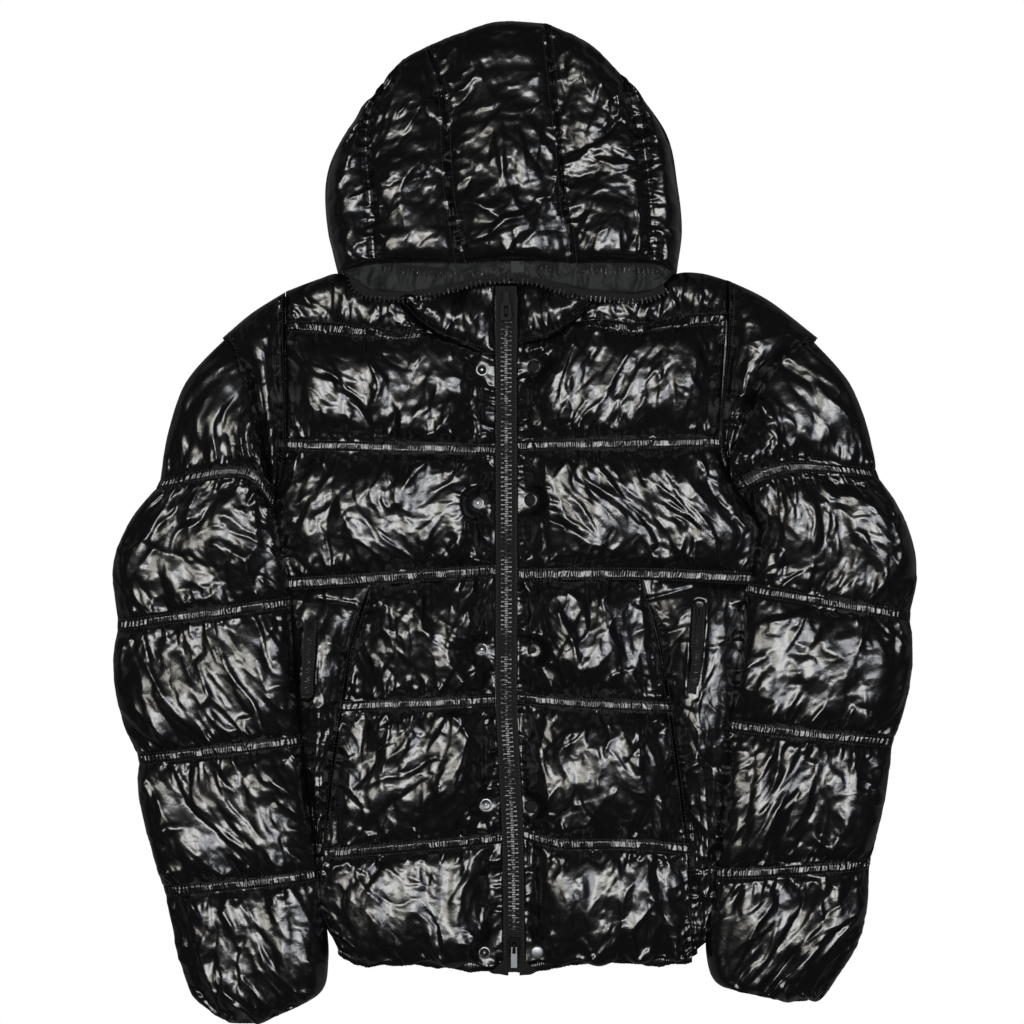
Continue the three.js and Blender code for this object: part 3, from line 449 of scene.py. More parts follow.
def arc_shares(dense):
    """Share of the length at each point of dense, along its first axis, and the lengths."""
    steps = np.linalg.norm(np.diff(dense, axis=0), axis=-1)
    length = np.concatenate([np.zeros_like(steps[:1]), np.cumsum(steps, axis=0)])
    total = np.maximum(length[-1:], 1e-6)
    return length / total, total[0]


def along(dense, shares):
    """Points of one dense line at the given shares of its length."""
    at, _ = arc_shares(dense)
    return np.stack([np.interp(shares, at, dense[:, k]) for k in range(dense.shape[1])], 1)


def smooth_noise(rng, shape, size):
    """Random field of the given shape, -1 to 1: draws at places about size cells apart, with an
    even curve between them."""
    rows, cols = (max(3, int(n / size) + 3) for n in shape)
    coarse = rng.uniform(-1, 1, (rows, cols))
    r = np.linspace(0, rows - 1.001, shape[0])
    c = np.linspace(0, cols - 1.001, shape[1])
    ri, ci = r.astype(int), c.astype(int)
    rf, cf = r - ri, c - ci
    rf, cf = rf * rf * (3 - 2 * rf), cf * cf * (3 - 2 * cf)
    rf, cf = rf[:, None], cf[None]
    top = coarse[ri][:, ci] * (1 - cf) + coarse[ri][:, ci + 1] * cf
    low = coarse[ri + 1][:, ci] * (1 - cf) + coarse[ri + 1][:, ci + 1] * cf
    return top * (1 - rf) + low * rf


def quarter_round(t):
    """0 to 1 along a quarter circle as t goes from 0 to 1: the root of 1 less (1 - t) squared."""
    c = 1 - np.clip(t, 0, 1)
    return np.sqrt(1 - c * c)


def baffle_shape(s, power):
    """Fullness at share s of the way across a baffle, 0 at both stitch lines and 1 over its
    middle: 1 less the distance from the middle to the given power, all to the power 0.7."""
    return np.clip(1 - np.abs(2 * s - 1) ** power, 0, 1) ** 0.7


class Patch:
    """A panel's cloth as a grid of points: rows run from one side edge to the other.

    base is the smooth padded surface, held marks the points that stitching holds, channels
    lists the first of each channel's five rows, u and v are distances along and across the
    rows, to_seam is the distance to the nearest stitching and to_edge to a side edge.
    """

    def __init__(self, rows, sides, scale=1.0, cell=CELL, lean=0.0, gather=1.0, full=BAFFLE_FULL):
        """rows are seams, channels and guides in order; sides say how both side edges behave."""
        self.lean, self.gather, self.cell, self.full = lean, gather, cell, full
        stops = [i for i, row in enumerate(rows) if row["kind"] != "guide"]
        width = max(arc_shares(catmull_rom(row["line"]))[1] for row in rows)
        across = np.linspace(0, 1, 4 * max(2, round(width / cell / 4)) + 1)
        runs = [rows[a : b + 1] for a, b in zip(stops, stops[1:])]
        dense = [
            catmull_rom(np.stack([self.row_points(row["line"], across) for row in run]))
            for run in runs
        ]
        bands, self.channels = [], []
        for k, run in enumerate(runs):
            last = k == len(runs) - 1
            band, whole = self.baffle(dense[k], run[0], run[-1], k == 0, last)
            bands.append(band)
            if run[-1]["kind"] == "channel":
                self.channels.append(sum(len(plan) for plan, *_ in bands) - 1)
                following = None if last else dense[k + 1]
                bands.append(self.channel_strip(dense[k], following, whole, run[-1]["rise"]))
        plan, rise, self.held, self.to_seam = (np.concatenate(parts) for parts in zip(*bands))
        for end, inner in ((0, 1), (-1, -2)):
            out = plan[end] - plan[inner]
            plan[end] += END_LAP * out / (np.linalg.norm(out, axis=1)[:, None] + 1e-9)
        self.round_sides(plan, rise, sides, across, scale)
        whole_rows = np.flatnonzero(self.held[:, 1:-1].all(axis=1))
        self.seam_rows = [r for r in whole_rows if r - 1 not in whole_rows or r + 1 not in whole_rows]

    def baffle(self, dense, start, end, first, last):
        """The cloth between two seams: its points at even steps along each column, their
        heights, which go from one seam's to the other's and swell by the crest over it times
        the baffle's shape, the marks of held points and the distances to the seams."""
        _, length = arc_shares(dense)
        before, after = self.margin(start, first), self.margin(end, last)
        whole = np.maximum(length, before + after + 1)
        inner = whole - before - after
        count = 4 * max(1, round(np.median(inner) / self.cell / 4))
        step = np.linspace(0, 1, count + 1)
        if not first and start["kind"] != "channel":
            step = step[1:]
        step = step[:, None]
        plan = self.pick(dense, (before + step * inner) / whole)
        low = start["rise"] + (end["rise"] - start["rise"]) * step
        swell = self.full * (start["crest"] - low) * baffle_shape(step, start["power"])
        held = np.isin(step, (0.0, 1.0)) | np.zeros_like(inner, bool)
        near = np.minimum(step, 1 - step) * inner
        return (plan, low + swell + 0 * inner, held, near), whole

    def channel_strip(self, dense, following, whole, rise):
        """The rows inside a channel, level and held all over, as baffle gives them. A channel
        that ends a panel lies before its last line, and any other one on both sides of it."""
        if following is None:
            offsets = RIB_STEP * np.array([3, 2, 1, 0])[:, None]
            plan = self.pick(dense, (whole - offsets) / whole)
        else:
            _, ahead = arc_shares(following)
            back = self.pick(dense, (whole - RIB_STEP * np.array([1, 0])[:, None]) / whole)
            plan = np.concatenate([back, self.pick(following, RIB_STEP / ahead[None])])
        size = plan.shape[:2]
        return plan, np.full(size, float(rise)), np.full(size, True), np.zeros(size)

    def round_sides(self, plan, rise, sides, across, scale):
        """Brings the rows down to the height of both side edges: over it stands the row's height
        times the lower of two quarter rounds, each to the power of its edge's ease."""
        width = np.linalg.norm(plan[:, -1] - plan[:, 0], axis=1)[:, None]
        away = (across * width, (1 - across) * width)
        rims = [
            quarter_round((a - s.get("band", 0)) / s["round"]) ** s.get("ease", 1)
            for a, s in zip(away, sides)
        ]
        edge = sides[0]["edge"] * (1 - across) + sides[1]["edge"] * across
        self.base = np.dstack([plan, edge + np.minimum(*rims) * rise * scale])
        self.held[:, [0, -1]] = True
        self.to_edge = np.minimum(*away)
        self.u = away[0]
        self.v = arc_shares(plan)[0] * np.median(arc_shares(plan)[1])

    def spots(self):
        """Row and column of each snap that lies on the patch."""
        found = []
        for place_at in (*STUDS, *CAPS):
            away = np.linalg.norm(self.base[..., :2] - place_at, axis=-1)
            if away.min() < 2 * self.cell:
                found.append(np.unravel_index(away.argmin(), away.shape))
        return found

    @staticmethod
    def row_points(line, u):
        """Points of a row, stretched past both ends so that the cloth meets its neighbour's."""
        dense = catmull_rom(line)
        ends = dense[[0, -1]] - dense[[1, -2]]
        ends /= np.linalg.norm(ends, axis=1)[:, None]
        dense = np.vstack([dense[:1] + ends[:1] * SEAM_LAP, dense, dense[-1:] + ends[1:] * SEAM_LAP])
        return along(dense, u)

    @staticmethod
    def margin(row, outer):
        """How far from its line a seam's or channel's stitching lies; outer is a panel's end."""
        if row["kind"] == "channel":
            return 2 * RIB_HALF if outer else RIB_HALF
        return 0.0

    @staticmethod
    def pick(dense, shares):
        """Points of each column of dense lines at that column's shares of its length."""
        at, _ = arc_shares(dense)
        columns = [
            np.stack([np.interp(shares[:, c], at[:, c], dense[:, c, k]) for k in (0, 1)], 1)
            for c in range(dense.shape[1])
        ]
        return np.stack(columns, 1)


def pull(a, b, rest, free_a, free_b, stiffness):
    """Moves pairs of points along the line between them by stiffness times what they are from
    their rest distance, shared out by how free each of the two is."""
    gap = b - a
    length = np.sqrt(np.einsum("...k,...k", gap, gap)) + 1e-9
    weight = free_a + free_b + 1e-9
    move = gap * (stiffness * (length - rest) / length / weight)[..., None]
    a += move * free_a[..., None]
    b -= move * free_b[..., None]


def pairs(count, first, apart):
    """Slices of the near and far ends of pairs of rows or columns, out of count, that lie apart
    rows from each other. No two pairs share a row, so they can all move at once, and first from
    0 to 2 apart - 1 gives every pair."""
    number = len(range(first + apart, count, 2 * apart))
    return slice(first, first + 2 * apart * number, 2 * apart), slice(first + apart, count, 2 * apart)


def relax(points, base, free, grow_u, grow_v, rounds):
    """Settles cloth that is longer than its base by grow_u along rows and grow_v across.

    Each round pulls every pair of neighbours towards its rest distance, keeps points two
    cells apart from folding sharply, and lets the filling below press the cloth towards
    the base surface. Points where free is 0 stay on their seam. The last two rows, and the
    last two columns, aren't pulled towards each other, because the edge holds them.
    """
    du = np.linalg.norm(np.diff(base, axis=1), axis=2) * (1 + grow_u)
    dv = np.linalg.norm(np.diff(base, axis=0), axis=2) * (1 + grow_v)
    skew = (1 + grow_u) / 2 + (1 + grow_v) / 2
    d1 = np.linalg.norm(base[1:, 1:] - base[:-1, :-1], axis=2) * skew
    d2 = np.linalg.norm(base[1:, :-1] - base[:-1, 1:], axis=2) * skew
    u2 = (du[:, 1:] + du[:, :-1]) * BEND_REST
    v2 = (dv[1:] + dv[:-1]) * BEND_REST
    rows, cols = free.shape
    for _ in range(rounds):
        lift = (base[..., 2] - points[..., 2]) * free
        points[..., 2] += lift * FILLING
        for k in range(2):
            a, b = pairs(cols - 1, k, 1)
            pull(points[:, a], points[:, b], du[:, a], free[:, a], free[:, b], STRETCH)
            a, b = pairs(rows - 1, k, 1)
            pull(points[a], points[b], dv[a], free[a], free[b], STRETCH)
            pull(points[a, :-1], points[b, 1:], d1[a], free[a, :-1], free[b, 1:], SHEAR)
            pull(points[a, 1:], points[b, :-1], d2[a], free[a, 1:], free[b, :-1], SHEAR)
        for k in range(4):
            a, b = pairs(cols, k, 2)
            pull(points[:, a], points[:, b], u2[:, a], free[:, a], free[:, b], BEND)
            a, b = pairs(rows, k, 2)
            pull(points[a], points[b], v2[a], free[a], free[b], BEND)


def enlarge(field, rows, cols):
    """A coarse field on a grid of rows by cols points, on straight lines between its points."""
    r = np.linspace(0, field.shape[0] - 1, rows)
    c = np.linspace(0, field.shape[1] - 1, cols)
    ri = np.minimum(r.astype(int), field.shape[0] - 2)
    ci = np.minimum(c.astype(int), field.shape[1] - 2)
    rf, cf = (r - ri)[:, None, None], (c - ci)[None, :, None]
    top = field[ri][:, ci] * (1 - cf) + field[ri][:, ci + 1] * cf
    low = field[ri + 1][:, ci] * (1 - cf) + field[ri + 1][:, ci + 1] * cf
    return top * (1 - rf) + low * rf


def blur(field, rounds):
    """A field in which each point has become half itself and an eighth of each of its four
    neighbours, rounds times over."""
    for _ in range(rounds):
        around = np.pad(field, ((1, 1), (1, 1), (0, 0)), mode="edge")
        sides = around[2:, 1:-1] + around[:-2, 1:-1] + around[1:-1, 2:] + around[1:-1, :-2]
        field = 0.5 * field + 0.125 * sides
    return field


def smooth_step(t):
    """0 below 0, 1 above 1 and 3 t squared less 2 t cubed between."""
    t = np.clip(t, 0, 1)
    return t * t * (3 - 2 * t)


def flatten(points, base):
    """Brings settled cloth down flat round each snap, and to its smooth base under each
    pocket's zip, with a welt round it whose height is a bell curve of the distance from it."""
    plan = points[..., :2]
    for place_at in (*STUDS, *CAPS):
        away = np.linalg.norm(plan - place_at, axis=-1)
        near = SNAP_FULL + (1 - SNAP_FULL) * smooth_step((away - SNAP_FLAT) / SNAP_REACH)
        sunk = ZIP_EDGE - SNAP_SINK * np.clip(SNAP_FLAT + 1 - away, 0, 6)
        points[..., 2] = sunk + (points[..., 2] - sunk) * near
    for top, end in POCKETS:
        away = distance_to(plan, np.array(top, float), np.array(end, float))
        near = smooth_step((away - POCKET_FLAT) / POCKET_REACH)[..., None]
        points[:] = base + (points - base) * near
        below = top[1] + WELT_PAST - plan[..., 1]
        share = np.clip(below / (top[1] - end[1] + 2 * WELT_PAST), 0, 1)
        welt = np.sin(np.pi * share) ** 0.4 * (0.75 + 0.35 * np.sin(plan[..., 1] / 7.3 + top[0]))
        points[..., 2] += WELT_HEIGHT * welt * np.exp(-(((away - WELT_OFF) / WELT_WIDE) ** 2))
    return points


def distance_to(points, start, end):
    """Distance of each point from a straight line between two places."""
    run = end - start
    share = np.clip(((points - start) @ run) / (run @ run), 0, 1)
    return np.linalg.norm(points - start - share[..., None] * run, axis=-1)


def settle(patch, rng, fullness=1.0):
    """The patch's cloth, crumpled over its filling: coarse folds first, then finer ones."""
    base, held = patch.base, patch.held
    rows, cols = held.shape
    shift = np.zeros_like(base)
    for stride, grow_u, grow_v, rounds in LEVELS:
        coarse = base[::stride, ::stride].copy()
        free = (~held[::stride, ::stride]).astype(float)
        noise = sum(smooth_noise(rng, free.shape, size) * high for size, high in START_LUMPS)
        points = coarse + shift[::stride, ::stride]
        points[..., 2] += noise * stride * free
        relax(points, coarse, free, grow_u * fullness, grow_v * fullness, rounds)
        shift = enlarge(points - coarse, rows, cols)
        shift[held] = 0
    settled = base + blur(shift, 3)
    settled[held] = base[held]
    inside = smooth_step(np.minimum(patch.to_seam, patch.to_edge) / 26)
    for size, height in LUMPS:
        settled[..., 2] += fullness * height * inside * smooth_noise(rng, held.shape, size / patch.cell)
    spots = patch.spots()
    settled[..., 2] += folds(patch, rng, spots) * fullness
    return flatten(settled, base)


# Creases over a settled panel: length, height and width of each, in millimetres, how far it
# strays from the others near it, in degrees, and the area that has one of them.
CREASES = (
    (105, 3.6, 13, 20, 2300),
    (64, 2.0, 7.5, 28, 850),
    (36, 0.9, 4.0, 38, 330),
    (20, 0.40, 2.2, 55, 110),
)
# Gathers that run out from the stitching: length, height, width, stray and spacing along it.
GATHERS = (
    (92, 2.8, 7.5, 26, 28),
    (52, 2.3, 4.4, 24, 12),
    (28, 1.7, 2.7, 20, 6.0),
)
# Gathers that run in from a panel's side edges, as above.
EDGE_GATHERS = ((60, 2.2, 6.0, 32, 24), (28, 1.5, 3.0, 28, 8))
# Range of each size of a crease, and of the widths of its steep and its gentle side, as shares.
CREASE_SIZES, STEEP_SIDE, GENTLE_SIDE = (0.6, 1.3), (0.22, 0.45), (1.2, 1.9)
# How far, in degrees, the run of the creases turns over a panel, and the size of its turns.
DRIFT, DRIFT_SIZE = 65, 80
# Distance from seams and edges at which creases, and any folds, have their full height.
CREASE_START, FOLD_START = 7, 1.5


def crease(height, patch, row, col, angle, size, rng):
    """Adds one crease to a height map: a sharp line that bends a little, falls away to each
    side as exp(-distance / width), faster on one side, and tapers to nothing at both ends."""
    length, tall, width = (value * rng.uniform(*CREASE_SIZES) for value in size)
    widths = (width * rng.uniform(*STEEP_SIDE), width * rng.uniform(*GENTLE_SIDE))
    reach = int((length / 2 + 3 * max(widths)) / patch.cell)
    window = (slice(max(0, row - reach), row + reach), slice(max(0, col - reach), col + reach))
    du = patch.u[window] - patch.u[row, col]
    dv = patch.v[window] - patch.v[row, col]
    t = (dv * math.cos(angle) + du * math.sin(angle)) * 2 / length
    d = du * math.cos(angle) - dv * math.sin(angle)
    d += length * (rng.uniform(-0.12, 0.12) * t * t + rng.uniform(-0.05, 0.05) * np.sin(5 * t))
    d *= rng.choice((-1, 1))
    fall = np.where(d > 0, d / widths[0], -d / widths[1])
    sign = rng.choice((-1.0, 1.0, 1.0))
    height[window] += sign * tall * np.clip(1 - t * t, 0, 1) * np.exp(-fall)


def folds(patch, rng, spots=()):
    """Height of the creases over a patch, the gathers along its stitching and those that
    stand round each of its snaps."""
    rows, cols = patch.held.shape
    height = np.zeros((rows, cols))
    turn = smooth_noise(rng, (rows, cols), DRIFT_SIZE / patch.cell)
    lean = patch.lean + math.radians(DRIFT) * turn
    area = float(np.median(patch.u[:, -1]) * np.median(patch.v[-1]))
    for *size, stray, each in CREASES:
        for _ in range(int(area / each)):
            row, col = rng.integers(rows), rng.integers(cols)
            angle = lean[row, col] + math.radians(rng.uniform(-stray, stray))
            crease(height, patch, row, col, angle, size, rng)
    height *= np.clip(np.minimum(patch.to_seam, patch.to_edge) / CREASE_START, 0, 1)
    for length, *size, stray, spacing in GATHERS:
        size = (length * patch.gather, *size)
        for row in patch.seam_rows:
            for _ in range(int(np.median(patch.u[:, -1]) / spacing)):
                angle = math.radians(rng.uniform(-stray, stray))
                crease(height, patch, row, rng.integers(cols), angle, size, rng)
    for *size, stray, spacing in EDGE_GATHERS:
        for col in (0, cols - 1):
            for _ in range(int(np.median(patch.v[-1]) / spacing)):
                angle = math.pi / 2 + math.radians(rng.uniform(-stray, stray))
                crease(height, patch, rng.integers(rows), col, angle, size, rng)
    for row, col in spots:
        for k in range(SNAP_GATHERS):
            angle = (k + rng.uniform(-0.3, 0.3)) * 2 * math.pi / SNAP_GATHERS
            r = row + round(SNAP_DIMPLE * math.cos(angle) / patch.cell)
            c = col + round(SNAP_DIMPLE * math.sin(angle) / patch.cell)
            if 0 <= r < rows and 0 <= c < cols:
                crease(height, patch, r, c, angle, SNAP_GATHER, rng)
    return height * np.clip(np.minimum(patch.to_seam, patch.to_edge) / FOLD_START, 0, 1)


def mesh_object(name, verts, faces, material, smooth=True):
    """A mesh piece from points in millimetres, shaded by the given material."""
    mesh = bpy.data.meshes.new(name)
    mesh.from_pydata((np.asarray(verts) * MM).tolist(), [], faces)
    mesh.update()
    mesh.polygons.foreach_set("use_smooth", [smooth] * len(mesh.polygons))
    mesh.materials.append(material)
    obj = bpy.data.objects.new(name, mesh)
    bpy.context.collection.objects.link(obj)
    return obj


def grid_faces(rows, cols, flip):
    """Faces of a grid of rows by cols points."""
    index = np.arange(rows * cols).reshape(rows, cols)
    a, b, c, d = index[:-1, :-1], index[:-1, 1:], index[1:, 1:], index[1:, :-1]
    quads = np.stack([a, b, c, d] if not flip else [a, d, c, b], -1)
    return quads.reshape(-1, 4).tolist()


def faces_up(points):
    """True if the faces of a grid taken in order point up: the sum of the crosses of its steps
    across and along is above 0."""
    a = points[1:, :-1] - points[:-1, :-1]
    b = points[:-1, 1:] - points[:-1, :-1]
    return float(np.sum(b[..., 0] * a[..., 1] - b[..., 1] * a[..., 0])) > 0


# Share of its size by which a panel's flat underside is smaller, so its walls stay hidden.
UNDERCUT = 0.03
HOOD_UNDERCUT = 0.07


def slab(name, points, level, material, undercut=UNDERCUT):
    """Closed piece between a grid of points and the flat plane at level below it, where its
    outline is drawn in to its middle by undercut. Its walls are shaded flat, so that they don't
    tilt the shading of the cloth at its edges."""
    rows, cols = points.shape[:2]
    index = np.arange(rows * cols).reshape(rows, cols)
    loop = np.r_[index[0, :-1], index[:-1, -1], index[-1, :0:-1], index[:0:-1, 0]]
    up = faces_up(points)
    flat = points.reshape(-1, 3)
    skirt = flat[loop].copy()
    skirt[:, :2] += (skirt[:, :2].mean(axis=0) - skirt[:, :2]) * undercut
    skirt[:, 2] = level
    first = len(flat)
    count = len(loop)
    faces = grid_faces(rows, cols, not up)
    ring = first + np.arange(count)
    following = np.roll(ring, -1)
    sides = np.stack([loop, ring, following, np.roll(loop, -1)], -1)
    if not up:
        sides = sides[:, ::-1]
    faces += sides.tolist()
    faces.append(ring[::-1].tolist() if up else ring.tolist())
    obj = mesh_object(name, np.vstack([flat, skirt]), faces, material)
    top = (rows - 1) * (cols - 1)
    obj.data.polygons.foreach_set("use_smooth", np.arange(len(faces)) < top)
    return obj


def tube_of_two(name, top, under, material):
    """Closed piece from an upper and an under grid that meet along their side edges."""
    rows, cols = top.shape[:2]
    under = under.copy()
    under[:, [0, -1]] = top[:, [0, -1]]
    up = faces_up(top)
    count = rows * cols
    faces = grid_faces(rows, cols, not up)
    faces += [[v + count for v in face] for face in grid_faces(rows, cols, up)]
    for row in (0, rows - 1):
        a = row * cols + np.arange(cols - 1)
        quads = np.stack([a, a + count, a + 1 + count, a + 1], -1)
        if up == (row == 0):
            quads = quads[:, ::-1]
        faces += quads.tolist()
    verts = np.vstack([top.reshape(-1, 3), under.reshape(-1, 3)])
    obj = mesh_object(name, verts, faces, material)
    merge_doubles(obj.data)
    return obj


def merge_doubles(mesh, reach=0.00001):
    """Merges points that lie on each other and turns every face outwards."""
    work = bmesh.new()
    work.from_mesh(mesh)
    bmesh.ops.remove_doubles(work, verts=work.verts, dist=reach)
    bmesh.ops.recalc_face_normals(work, faces=work.faces)
    work.to_mesh(mesh)
    work.free()


def resample(line, spacing):
    """Points along a 3-D line at an even spacing."""
    at, length = arc_shares(line)
    count = max(3, int(length / spacing) + 1)
    shares = np.linspace(0, 1, count)
    return np.stack([np.interp(shares, at, line[:, k]) for k in range(3)], 1)


# Gathers over a channel: the spacing of their points along it and the number across, their
# pitch, the heights of the dome and of its ribs, and their lift above the cloth.
GATHER_SPACING, GATHER_ACROSS = 0.75, 9
GATHER_PITCH = 4.7
GATHER_RISE, GATHER_RIPPLE, GATHER_LIFT = 1.5, 1.9, 0.3


def gathered_strip(lower, upper, rng):
    """Points of the finely gathered cloth between two stitch lines: a low dome, 7 w (1 - w) and
    at most 1 at share w of the way across, crossed by ribs, the size of a sine to the power 0.7,
    of uneven pitch, strength and run."""
    count = max(4, int(arc_shares(lower)[1] / GATHER_SPACING))
    shares = np.linspace(0, 1, count)
    a, b = along(lower, shares), along(upper, shares)
    w = np.linspace(0, 1, GATHER_ACROSS)[None, :]
    dome = np.clip(7 * w * (1 - w), 0, 1)
    pitch = GATHER_PITCH * (1 + 0.5 * smooth_noise(rng, (count, 1), 6)[:, 0])
    phase = np.cumsum(2 * np.pi * GATHER_SPACING / pitch)
    bend = 1.5 * smooth_noise(rng, (count, GATHER_ACROSS), 7)
    rib = np.abs(np.sin((phase[:, None] + bend) / 2)) ** 0.7
    strength = 0.8 + 0.6 * smooth_noise(rng, (count, 1), 5)
    points = a[:, None] * (1 - w[..., None]) + b[:, None] * w[..., None]
    twist = 2.2 * smooth_noise(rng, (count, 1), 11)
    ribs = GATHER_RIPPLE * strength * (rib - 0.6)
    points[..., 2] += GATHER_LIFT + dome * (GATHER_RISE + ribs + twist * (w - 0.5))
    return points


class Heap:
    """Collects many small meshes into one piece."""

    def __init__(self):
        self.verts, self.faces, self.count = [], [], 0

    def add(self, verts, faces):
        """Adds a small mesh."""
        verts = np.asarray(verts, float).reshape(-1, 3)
        self.faces += (np.asarray(faces) + self.count).tolist()
        self.verts.append(verts)
        self.count += len(verts)

    def add_grid(self, points):
        """Adds a grid of points as cloth that faces up."""
        rows, cols = points.shape[:2]
        self.add(points.reshape(-1, 3), grid_faces(rows, cols, not faces_up(points)))

    def copies(self, verts, faces, places, frames):
        """Adds one copy of a small mesh at each place, turned by the frame there."""
        verts, faces = np.asarray(verts, float), np.asarray(faces)
        moved = np.einsum("vk,nkj->nvj", verts, frames) + places[:, None]
        starts = np.arange(len(places)) * len(verts)
        all_faces = faces[None] + starts[:, None, None]
        self.add(moved.reshape(-1, 3), all_faces.reshape(-1, faces.shape[1]))

    def build(self, name, material):
        """Makes one piece of all that was added."""
        return mesh_object(name, np.vstack(self.verts), self.faces, material)


def frames_along(line):
    """Frames at the points of a line: along it, to its left, and up."""
    forward = np.gradient(line, axis=0)
    forward /= np.linalg.norm(forward, axis=1)[:, None] + 1e-9
    left = np.cross([0, 0, 1], forward)
    left /= np.linalg.norm(left, axis=1)[:, None] + 1e-9
    up = np.cross(forward, left)
    return np.stack([forward, left, up], 1)


# A stitch is a spindle with pointed ends: its length, its pitch, its points and its faces.
STITCH = 2.5
STITCH_PITCH = 3.3
STITCH_VERTS = np.array(
    [(-0.5, 0, 0), (0.5, 0, 0), (0, -0.13, 0), (0, 0.13, 0), (0, 0, -0.13), (0, 0, 0.13)]
) * STITCH
STITCH_FACES = [(0, 2, 5), (0, 5, 3), (0, 3, 4), (0, 4, 2), (1, 5, 2), (1, 3, 5), (1, 4, 3), (1, 2, 4)]


def stitch_row(heap, line, lift=0.45):
    """A row of stitches along a line on the cloth."""
    points = resample(line, STITCH_PITCH)
    points[:, 2] += lift
    heap.copies(STITCH_VERTS, STITCH_FACES, points, frames_along(points))


# Materials

def new_material(name):
    """An empty material with only a Principled shader, and that shader."""
    material = bpy.data.materials.new(name)
    material.use_nodes = True
    nodes = material.node_tree.nodes
    nodes.clear()
    out = nodes.new("ShaderNodeOutputMaterial")
    shader = nodes.new("ShaderNodeBsdfPrincipled")
    material.node_tree.links.new(shader.outputs[0], out.inputs[0])
    return material, shader


def set_values(node, **values):
    """Sets a node's inputs by their names, written with _ for each space."""
    for key, value in values.items():
        node.inputs[key.replace("_", " ")].default_value = value


def add_node(tree, kind, values=(), **settings):
    """A new node with the given settings and pairs of an input and its value."""
    node = tree.nodes.new(kind)
    for key, value in settings.items():
        setattr(node, key, value)
    for key, value in values:
        node.inputs[key].default_value = value
    return node


def effect_group(name, inputs):
    """A node group with the given number inputs and one output, the height for a bump."""
    group = bpy.data.node_groups.new(name, "ShaderNodeTree")
    for socket in inputs:
        group.interface.new_socket(name=socket, in_out="INPUT", socket_type="NodeSocketFloat")
    group.interface.new_socket(name="Height", in_out="OUTPUT", socket_type="NodeSocketFloat")
    given = group.nodes.new("NodeGroupInput").outputs
    made = group.nodes.new("NodeGroupOutput").inputs
    return group, given, made


def creases_group():
    """Crisp random creases: the distance to the nearest of scattered points, about 1/Scale
    metres apart, read at places that noise of 0.55 times that scale moves by up to Stray metres."""
    group, given, made = effect_group("creases", ("Scale", "Stray"))
    coords = add_node(group, "ShaderNodeTexCoord").outputs["Object"]
    wider = add_node(group, "ShaderNodeMath", [(1, 0.55)], operation="MULTIPLY")
    noise = add_node(group, "ShaderNodeTexNoise", [("Detail", 3.0)])
    moved = add_node(group, "ShaderNodeVectorMath", operation="MULTIPLY_ADD")
    cells = add_node(group, "ShaderNodeTexVoronoi", feature="F1")
    for source, target in (
        (given["Scale"], wider.inputs[0]),
        (wider.outputs[0], noise.inputs["Scale"]),
        (coords, noise.inputs["Vector"]),
        (noise.outputs["Color"], moved.inputs[0]),
        (given["Stray"], moved.inputs[1]),
        (coords, moved.inputs[2]),
        (moved.outputs[0], cells.inputs["Vector"]),
        (given["Scale"], cells.inputs["Scale"]),
        (cells.outputs["Distance"], made["Height"]),
    ):
        group.links.new(source, target)
    return group


def grain_group():
    """Fine grain: noise in lumps about 1/Scale metres across."""
    group, given, made = effect_group("grain", ("Scale",))
    coords = add_node(group, "ShaderNodeTexCoord").outputs["Object"]
    noise = add_node(group, "ShaderNodeTexNoise", [("Detail", 4.0)])
    group.links.new(coords, noise.inputs["Vector"])
    group.links.new(given["Scale"], noise.inputs["Scale"])
    group.links.new(noise.outputs["Fac"], made["Height"])
    return group


CREASE_EFFECT = creases_group()
GRAIN_EFFECT = grain_group()


def raised_by(tree, group, settings, strength, distance, below=None):
    """A bump of the height that a group gives, over the bump below; returns its normal."""
    effect = add_node(tree, "ShaderNodeGroup", node_tree=group)
    set_values(effect, **settings)
    bump = add_node(tree, "ShaderNodeBump", [("Strength", strength), ("Distance", distance)])
    tree.links.new(effect.outputs["Height"], bump.inputs["Height"])
    if below is not None:
        tree.links.new(below, bump.inputs["Normal"])
    return bump.outputs["Normal"]


# Creases of the nylon, widest first: scale, stray, strength and distance of each bump.
NYLON_CREASES = ((34, 0.03, 0.22, 0.0016), (75, 0.02, 0.28, 0.0011), (260, 0.008, 0.25, 0.0003))


def shell_material():
    """Glossy black nylon with fine crisp creases."""
    material, shader = new_material("glossy_nylon")
    tree = material.node_tree
    set_values(shader, Base_Color=(0.002, 0.002, 0.0024, 1), Roughness=0.25, IOR=1.5)
    normal = None
    for scale, stray, strength, distance in NYLON_CREASES:
        settings = {"Scale": scale, "Stray": stray}
        normal = raised_by(tree, CREASE_EFFECT, settings, strength, distance, normal)
    tree.links.new(normal, shader.inputs["Normal"])
    return material


GRAIN_STRENGTH = 0.6


def plain_material(name, color, roughness, metallic=0.0, grain=None, specular=0.5):
    """A plain finish, with an optional fine grain as (scale, bump distance)."""
    material, shader = new_material(name)
    tree = material.node_tree
    set_values(shader, Base_Color=(*color, 1), Roughness=roughness, Metallic=metallic)
    shader.inputs["Specular IOR Level"].default_value = specular
    if grain:
        normal = raised_by(tree, GRAIN_EFFECT, {"Scale": grain[0]}, GRAIN_STRENGTH, grain[1])
        tree.links.new(normal, shader.inputs["Normal"])
    return material


